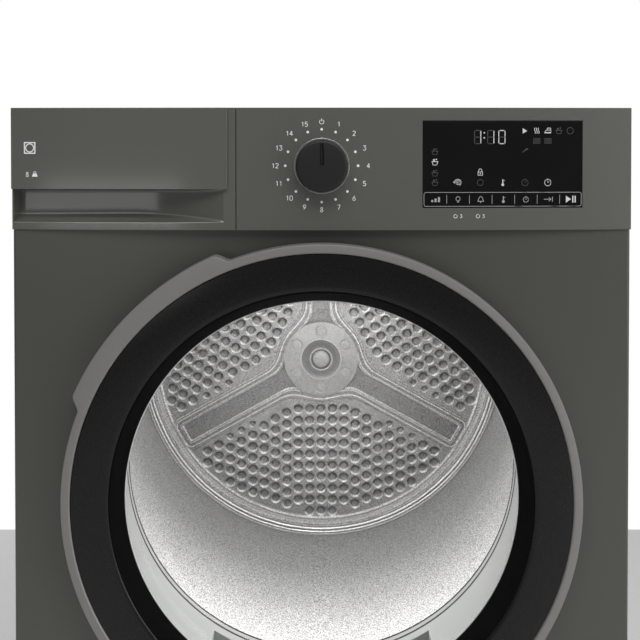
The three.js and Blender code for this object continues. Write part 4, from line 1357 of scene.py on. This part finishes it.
def pressed_steel():
    """Drum steel with painted light on its pressings: painted highlights along the beads and on each dish's
    lower lip, and painted shade inside each dish, darkest at its top.
    """
    made = material("pressed_drum_steel", STAINLESS, 0.5, 0.6)
    tree = made.node_tree
    patterns = [node(tree, "ShaderNodeAttribute", attribute_name=name) for name in ("star", "dish", "drop")]
    star, dish, drop = (pattern.outputs["Fac"] for pattern in patterns)
    e, r = BAND, DISH_R
    # Painted light along the star's raised band: painted highlight lines at both its edges, painted shade
    # lines beside them, and a darker arms' floor.
    band_painted_light = [(-e - 40, 0.7), (-e - 1.8, 0.7), (-e - 0.9, 0.6), (-e - 0.2, 2.4), (-e + 1.1, 2.3)]
    band_painted_light += [(-e + 1.9, 0.6), (-e + 2.7, 1.7), (-e + 3.7, 1.7), (-e + 4.5, 0.75), (-e / 2, 0.7)]
    band_painted_light += [(-4.9, 0.8), (-4.2, 2.0), (-2.9, 2.0), (-2.2, 0.45), (-1.4, 0.6), (-0.7, 2.4), (0.5, 2.4)]
    band_painted_light += [(1.2, 0.6), (2.4, 1.0), (4, 1.0)]
    # Painted shade inside each dish, darkest at its top, and a painted highlight on its lower lip, where
    # light from above would fall.
    inside = profile_curve(tree, dish, [(0, 1.0), (r - 1.4, 1.0), (r - 0.2, 0.0), (r, 0.0)])
    hollow = profile_curve(tree, drop, [(-r, 0.4), (-2, 0.52), (2, 0.74), (r, 0.9)])
    painted_dish_shade = computed(tree, "MULTIPLY_ADD", computed(tree, "SUBTRACT", hollow, 1.0), inside, 1.0)
    lip = profile_curve(tree, dish, [(r - 2.6, 0.0), (r - 1.6, 1.0), (r - 0.3, 1.0), (r + 0.5, 0.0)])
    lower = profile_curve(tree, drop, [(-1.5, 0.0), (4.5, 1.0), (r, 1.3)])
    painted_lip_highlight = computed(tree, "MULTIPLY_ADD", computed(tree, "MULTIPLY", lip, lower), LIP_HIGHLIGHT_GAIN, 1.0)
    # Painted rings of highlight and shade toward the drum's edge.
    rings = profile_curve(tree, reach_value(tree), RIM_PAINTED_LIGHT)
    band_highlights = profile_curve(tree, star, band_painted_light)
    speckle = toned_steel(made, STAINLESS, 0.5, band_highlights, painted_dish_shade, painted_lip_highlight, rings)
    beads = [(-e - 1, 0), (-e + 1, 1), (-e + 3.5, 0.3), (-3.5, 0.3), (-1, 1), (1, 0)]
    beaded = bump(tree, profile_curve(tree, star, beads), 0.0016, bump(tree, speckle, 0.00002))
    feed(tree, bump(tree, spread(tree, dish, 0.0, 1.0, r - 2.8, r), 0.004, beaded), "Normal")
    return made


def rim_steel():
    # The seam's steel, with the same painted rings of highlight and shade.
    made = material("rim_steel", STAINLESS, 0.5, 0.6)
    toned_steel(made, STAINLESS, 0.35, profile_curve(made.node_tree, reach_value(made.node_tree), RIM_PAINTED_LIGHT))
    return made


def side_steel():
    """The drum's side, with painted light: lighter toward its front, darker toward its back."""
    made = material("side_steel", STAINLESS, 0.5, 0.15)
    tree = made.node_tree
    split = node(tree, "ShaderNodeSeparateXYZ")
    tree.links.new(own_place(tree), split.inputs["Vector"])
    percent = spread(tree, split.outputs["Y"], 0.0, 100.0, DRUM_LOW.y * MM, DRUM_HIGH.y * MM)
    stops = [(0, 2.1), (35, 2.0), (55, 1.3), (75, 0.8), (100, 0.6)]
    toned_steel(made, STAINLESS, 0.5, profile_curve(tree, percent, stops))
    return made


def drum_shell():
    """The drum's side, with a rolled front lip."""
    low, high = DRUM_LOW, DRUM_HIGH
    wall = 1.5
    inner = DRUM_R - wall
    outside = [(222, low.y), (223.5, low.y), (223.5, -178), (279, -170), (285.5, -166.5)]
    outside += [(DRUM_R, -160), (DRUM_R, high.y)]
    inside = [(inner, high.y), (inner, -159.4), (284.4, -165.2), (278.3, -168.6), (222, -176.5)]
    shell = turned(outside + inside, steps=240)
    piece(shell, "drum_side", "drum", side_steel(), "drum_shell", sharp=30)


def lifter(node_name, side):
    """A lifter: a rounded ridge that tapers in at both ends."""
    low, high = box_mm(node_name)
    base = max(abs(low.x), abs(high.x))
    tip = min(abs(low.x), abs(high.x))
    rings = []
    for t in (0.0, 0.01, 0.05, 0.12, 0.25, 0.5, 0.75, 0.88, 0.95, 0.99, 1.0):
        rise = math.sin(math.pi * t) ** 0.35
        reach = base - 3 - (base - tip - 3) * rise
        half = 36 * (0.82 + 0.18 * rise)
        y = low.y + (high.y - low.y) * t
        outline = [(base, -half), (base - 4, -half + 1), ((base + reach) / 2, -half * 0.52)]
        outline += [(reach + 4, -half * 0.3), (reach, 0)]
        outline += [(a, -b) for a, b in reversed(outline[:-1])]
        shape = eased(outline, 7, 3, closed=False)
        rings.append([(side * a, y, AXIS_Z + b) for a, b in shape])
    piece(loft(rings), node_name + "_ridge", "drum", DRUM, node_name, sharp=45)


# ---- front bulkhead, filter, flap ----
def drum_bulkhead():
    face = box_mm("drum_bulkhead")[0].y
    inner, outer, end = 207.0, 213.4, -172.0
    section = [(inner, face + 2), (inner + 1.5, face), (outer, face), (outer, end), (inner + 1.5, end)]
    throat = turned([*section, (inner, end - 2)], steps=200)
    plate = block(-286, 286, FACE_Y + 4, FACE_Y + 7, 187, 715)
    half, front, back = 118, -223.5, -190.5
    chute = block(-half, half, front, back, 172, 300)
    for part in (plate, chute):
        carve(part, cylinder(210, AHEAD, -100, steps=200))
    arms = []
    for side in (-1, 1):
        x, z = side * middle("roller_right").x, middle("roller_right").z
        arms.append(cylinder(12, FACE_Y + 5, -162, x, z, 32))
        arms.append(cylinder(4, -170, -134, x, z, 24))
    fuse(throat, plate, chute, *arms)
    filter_room = block(5 - half, half - 5, front + 4, back - 4, 100, 330)
    latch_room = block(-238, -214, -256, -245, AXIS_Z - 18, AXIS_Z + 18)
    carve(throat, filter_room, latch_room)
    piece(throat, "throat_moulding", "cabinet", GREY, "drum_bulkhead")
    # Two thin dark rings inside the throat near its end: painted shadow lines where the throat meets the
    # drum's lip.
    for name, y in (("throat_shadow_line_deep", end - 4.0), ("throat_shadow_line_near", end - 12.0)):
        section = [(inner - 0.25, y), (inner - 0.25, y + 2.2), (inner + 1, y + 2.2), (inner + 1, y)]
        piece(turned(section, steps=200), name, "cabinet", RUBBER)


def lint_filter():
    """The filter cassette: a frame with a grip, and fine mesh across its faces."""
    low, high = box_mm("lint_filter")
    wall, pitch, opening = 3.0, 52, 45
    shell = block(low.x, high.x, low.y, high.y, low.z, high.z)
    carve(shell, block(low.x + wall, high.x - wall, low.y + 2.5, high.y - 2.5, low.z + 4, high.z + 5))
    for k in range(4):
        x = low.x + 10 + k * pitch
        carve(shell, block(x, x + opening, low.y - 5, high.y + 5, low.z + 10, high.z - 26))
    grip = block(-30, 30, -210, -204, high.z - 18, high.z - 4)
    ends = [block(a, b, low.y + 1, high.y - 1, high.z - 18, high.z - 4) for a, b in ((-30, -27), (27, 30))]
    fuse(shell, grip, *ends)
    piece(shell, "filter_frame", "filter", GREY, "lint_filter", 0.4)
    faces = (low.y + 1.1, high.y - 1.5)
    gauze = [block(low.x + 2, high.x - 2, y, y + 0.4, low.z + 8, high.z - 24) for y in faces]
    piece(joined(gauze), "filter_gauze", "filter", filter_gauze())


def filter_gauze():
    """Woven gauze: a fine square grid of threads over dark gaps."""
    made = material("filter_gauze", neutral(0.3), 0.7)
    tree = made.node_tree
    turn = node(tree, "ShaderNodeMapping")
    turn.inputs["Rotation"].default_value = (math.pi / 2, 0, 0)
    tree.links.new(own_place(tree), turn.inputs["Vector"])
    grid = node(tree, "ShaderNodeTexBrick", offset=0.0)
    sizes = {"Scale": 700, "Mortar Size": 0.06, "Brick Width": 0.5, "Row Height": 0.5}
    colors = {"Color1": 0.05, "Color2": 0.07, "Mortar": 0.5}
    for socket, value in sizes.items():
        grid.inputs[socket].default_value = value
    for socket, level in colors.items():
        grid.inputs[socket].default_value = (*neutral(level), 1)
    tree.links.new(turn.outputs["Vector"], grid.inputs["Vector"])
    feed(tree, grid.outputs["Color"], "Base Color")
    return made


def lower_flap():
    low, high = box_mm("lower_flap")
    skin = panel(low.x, high.x, FLAP_FOOT, high.z, low.y, low.y + 2.5, 4)
    fuse(skin, panel(low.x + 6, high.x - 6, 60, high.z - 4, low.y + 2, low.y + 8, 3))
    carve(skin, panel(low.x + 9, high.x - 9, 63, high.z - 7, low.y + 2.4, low.y + 20, 2))
    pin_y, pin_z = FACE_Y + 6, 52
    for x in (low.x + 8, high.x - 16):
        barrel = prism(disc(pin_y, pin_z, 4.5, 24), "x", x, x + 8)
        fuse(skin, block(x, x + 8, low.y + 2, pin_y, 48, 66), barrel)
        carve(skin, prism(disc(pin_y, pin_z, 2.4, 24), "x", x - 1, x + 9))
    piece(skin, "service_flap", "service_flap", PAINT, "lower_flap", 0.4)
    catches = []
    for x in ((low.x + high.x) / 2 - 90, (low.x + high.x) / 2 + 90):
        catches.append(block(x - 6, x + 6, low.y + 3, low.y + 9, high.z - 12, high.z - 8))
    piece(joined(catches), "flap_catches", "service_flap", PLASTIC)


def exchanger_cover():
    low, high = box_mm("exchanger_cover")
    plate = panel(low.x, high.x, low.z, high.z, high.y - 3, high.y, 8)
    fuse(plate, panel(-150, -90, 118, 128, low.y, high.y - 2, 4))
    ribs = []
    for k in range(8):
        z = low.z + 14 + 12 * k
        ribs.append(block(low.x + 24, high.x - 24, high.y - 3.8, high.y - 2, z, z + 3))
    piece(joined([plate, *ribs]), "exchanger_lid", "cabinet", GREY, "exchanger_cover", 0.5)


def feet():
    """Screw feet: a pad with a knurled edge, and a stud."""
    for name, obj in frame["nodes"].items():
        if not name.startswith("foot_"):
            continue
        centre = middle(name)
        high = box_mm(name)[1]
        radius = radius_of(name)
        rings = []
        for inset, z in ((1.5, 0), (0.3, 0.8), (0, 2.2), (0, 8.2), (1.2, 9.6), (3, 10)):
            ring = []
            for k in range(96):
                wave = 0.35 * (1 + math.cos(24 * 2 * math.pi * k / 96)) if 1 < z < 9 else 0.0
                r, a = radius - inset - wave, 2 * math.pi * k / 96
                ring.append((centre.x + r * math.cos(a), centre.y + r * math.sin(a), z))
            rings.append(ring)
        stud = [(0, 9), (5, 9), (5, high.z - 1), (4, high.z), (0, high.z)]
        body = obj["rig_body"]
        foot = joined([loft(rings), turned(stud, centre.x, centre.y, 24, "z")])
        piece(foot, name + "_pad", body, PLASTIC, name, sharp=40)


# ---- CAD nodes that stay, with their materials ----
KEPT = {
    "base_pan": PLASTIC, "door_catch": PLASTIC, "compressor": PLASTIC, "roller_left": PLASTIC,
    "roller_right": PLASTIC, "idler_wheel": PLASTIC, "control_board": GREY, "tank_guide": GREY,
    "fan_housing": GREY, "condensate_pump": GREY, "fan_impeller": GREY, "rear_bulkhead": ZINC,
    "drive_motor": ZINC, "tensioner_bracket": ZINC, "hinge_bracket": STEEL, "door_latch": STEEL,
    "door_hinge_leaf": STEEL, "flap_hinge_pin": STEEL, "idler_arm": STEEL, "motor_shaft": STEEL,
    "drum_shaft": STEEL, "drum_bearing": STEEL, "drive_belt": RUBBER, "tank_fill_hose": RUBBER,
    "front_seal": FELT, "rear_seal": FELT, "evaporator": FINS, "condenser": FINS, "drum_lamp": GLASS,
}


def finish_kept_nodes():
    for name, look in KEPT.items():
        obj = frame["nodes"][name]
        obj.data.materials.clear()
        obj.data.materials.append(look)
        rounding = obj.modifiers.new("edges", "BEVEL")
        rounding.width = 0.35 * MM
        rounding.limit_method = "ANGLE"
        rounding.angle_limit = math.radians(40)


# ---- stage: floor, light and camera ----
AMBIENT = 0.16  # how strongly the white surroundings light the machine


def studio():
    floor = raw([(x, y, -0.2) for x, y in rectangle(-2200, 2200, -2600, 620)], [(0, 1, 2, 3)])
    floor.name = "floor"
    pale = grained(material("pale_floor", neutral(0.8), 0.7), 40, neutral(0.79), neutral(0.81))
    floor.data.materials.append(pale)
    world = bpy.data.worlds.new("studio")
    bpy.context.scene.world = world
    world.use_nodes = True
    tree = world.node_tree
    background = tree.nodes["Background"]
    background.inputs["Color"].default_value = (1, 1, 1, 1)
    path = node(tree, "ShaderNodeLightPath")
    level = spread(tree, path.outputs["Is Camera Ray"], AMBIENT, 1.0)
    tree.links.new(level, background.inputs["Strength"])


def softbox(name, place, target, width, height, watts):
    data = bpy.data.lights.new(name, "AREA")
    data.shape = "RECTANGLE"
    data.size, data.size_y = width, height
    data.energy = watts
    obj = bpy.data.objects.new(name, data)
    bpy.context.scene.collection.objects.link(obj)
    obj.location = place
    obj.rotation_euler = (Vector(target) - Vector(place)).to_track_quat("-Z", "Y").to_euler()


def lights():
    softbox("overhead", (0.15, -1.5, 2.5), (0, -0.2, 0.5), 2.6, 1.2, 53)
    softbox("right", (1.7, -1.3, 0.9), (0.1, -0.25, 0.6), 0.9, 1.6, 15)
    softbox("left_band", (-0.53, -1.25, 0.675), (-0.53, -0.25, 0.675), 0.36, 0.1, 0.34)
    softbox("back_fill", (-1.8, 2.4, 1.8), (0, 0.2, 0.4), 2.0, 2.0, 40)
    softbox("drum_light", (0.0, -0.09, 0.735), (0.0, 0.2, 0.36), 0.26, 0.04, 1.8)
    for side in (-1, 1):
        softbox("drum_side_light", (side * 0.2, -0.14, 0.5), (-side * 0.28, -0.16, 0.36), 0.05, 0.1, 0.75)


def camera():
    """The camera stands 760 mm in front of the front panel, level with the fascia."""
    data = bpy.data.cameras.new("camera")
    data.lens = 44.3
    data.sensor_width = 36
    data.shift_y = -0.265
    data.clip_start = 0.05
    obj = bpy.data.objects.new("camera", data)
    bpy.context.scene.collection.objects.link(obj)
    obj.location = (-0.0016, FACE_Y * MM - 0.760, 0.815)
    obj.rotation_euler = (math.radians(90 - 0.75), 0, 0)
    bpy.context.scene.camera = obj


camera()
front_panel()
side_panel("side_panel_left", -1)
side_panel("side_panel_right", 1)
top_cover()
rear_panel()
rear_duct_cover()
rear_screws()
terminal_cover()
control_fascia()
display_panel()
programme_knob()
knob_ring()
dial_printing()
display_symbols()
touch_bar()
legend_printing()
drawer_front()
drawer_sign()
water_tank()
tank_lid()
door_ring()
door_bezel()
bezel_cone()
door_glass()
glass_edge()
door_frame()
door_gasket()
drum_back()
drum_back_rim()
hub_plate()
drum_shell()
lifter("lifter_left", -1)
lifter("lifter_right", 1)
drum_bulkhead()
lint_filter()
lower_flap()
exchanger_cover()
feet()
finish_kept_nodes()
studio()
lights()
bpy.context.scene.view_settings.view_transform = "Standard"
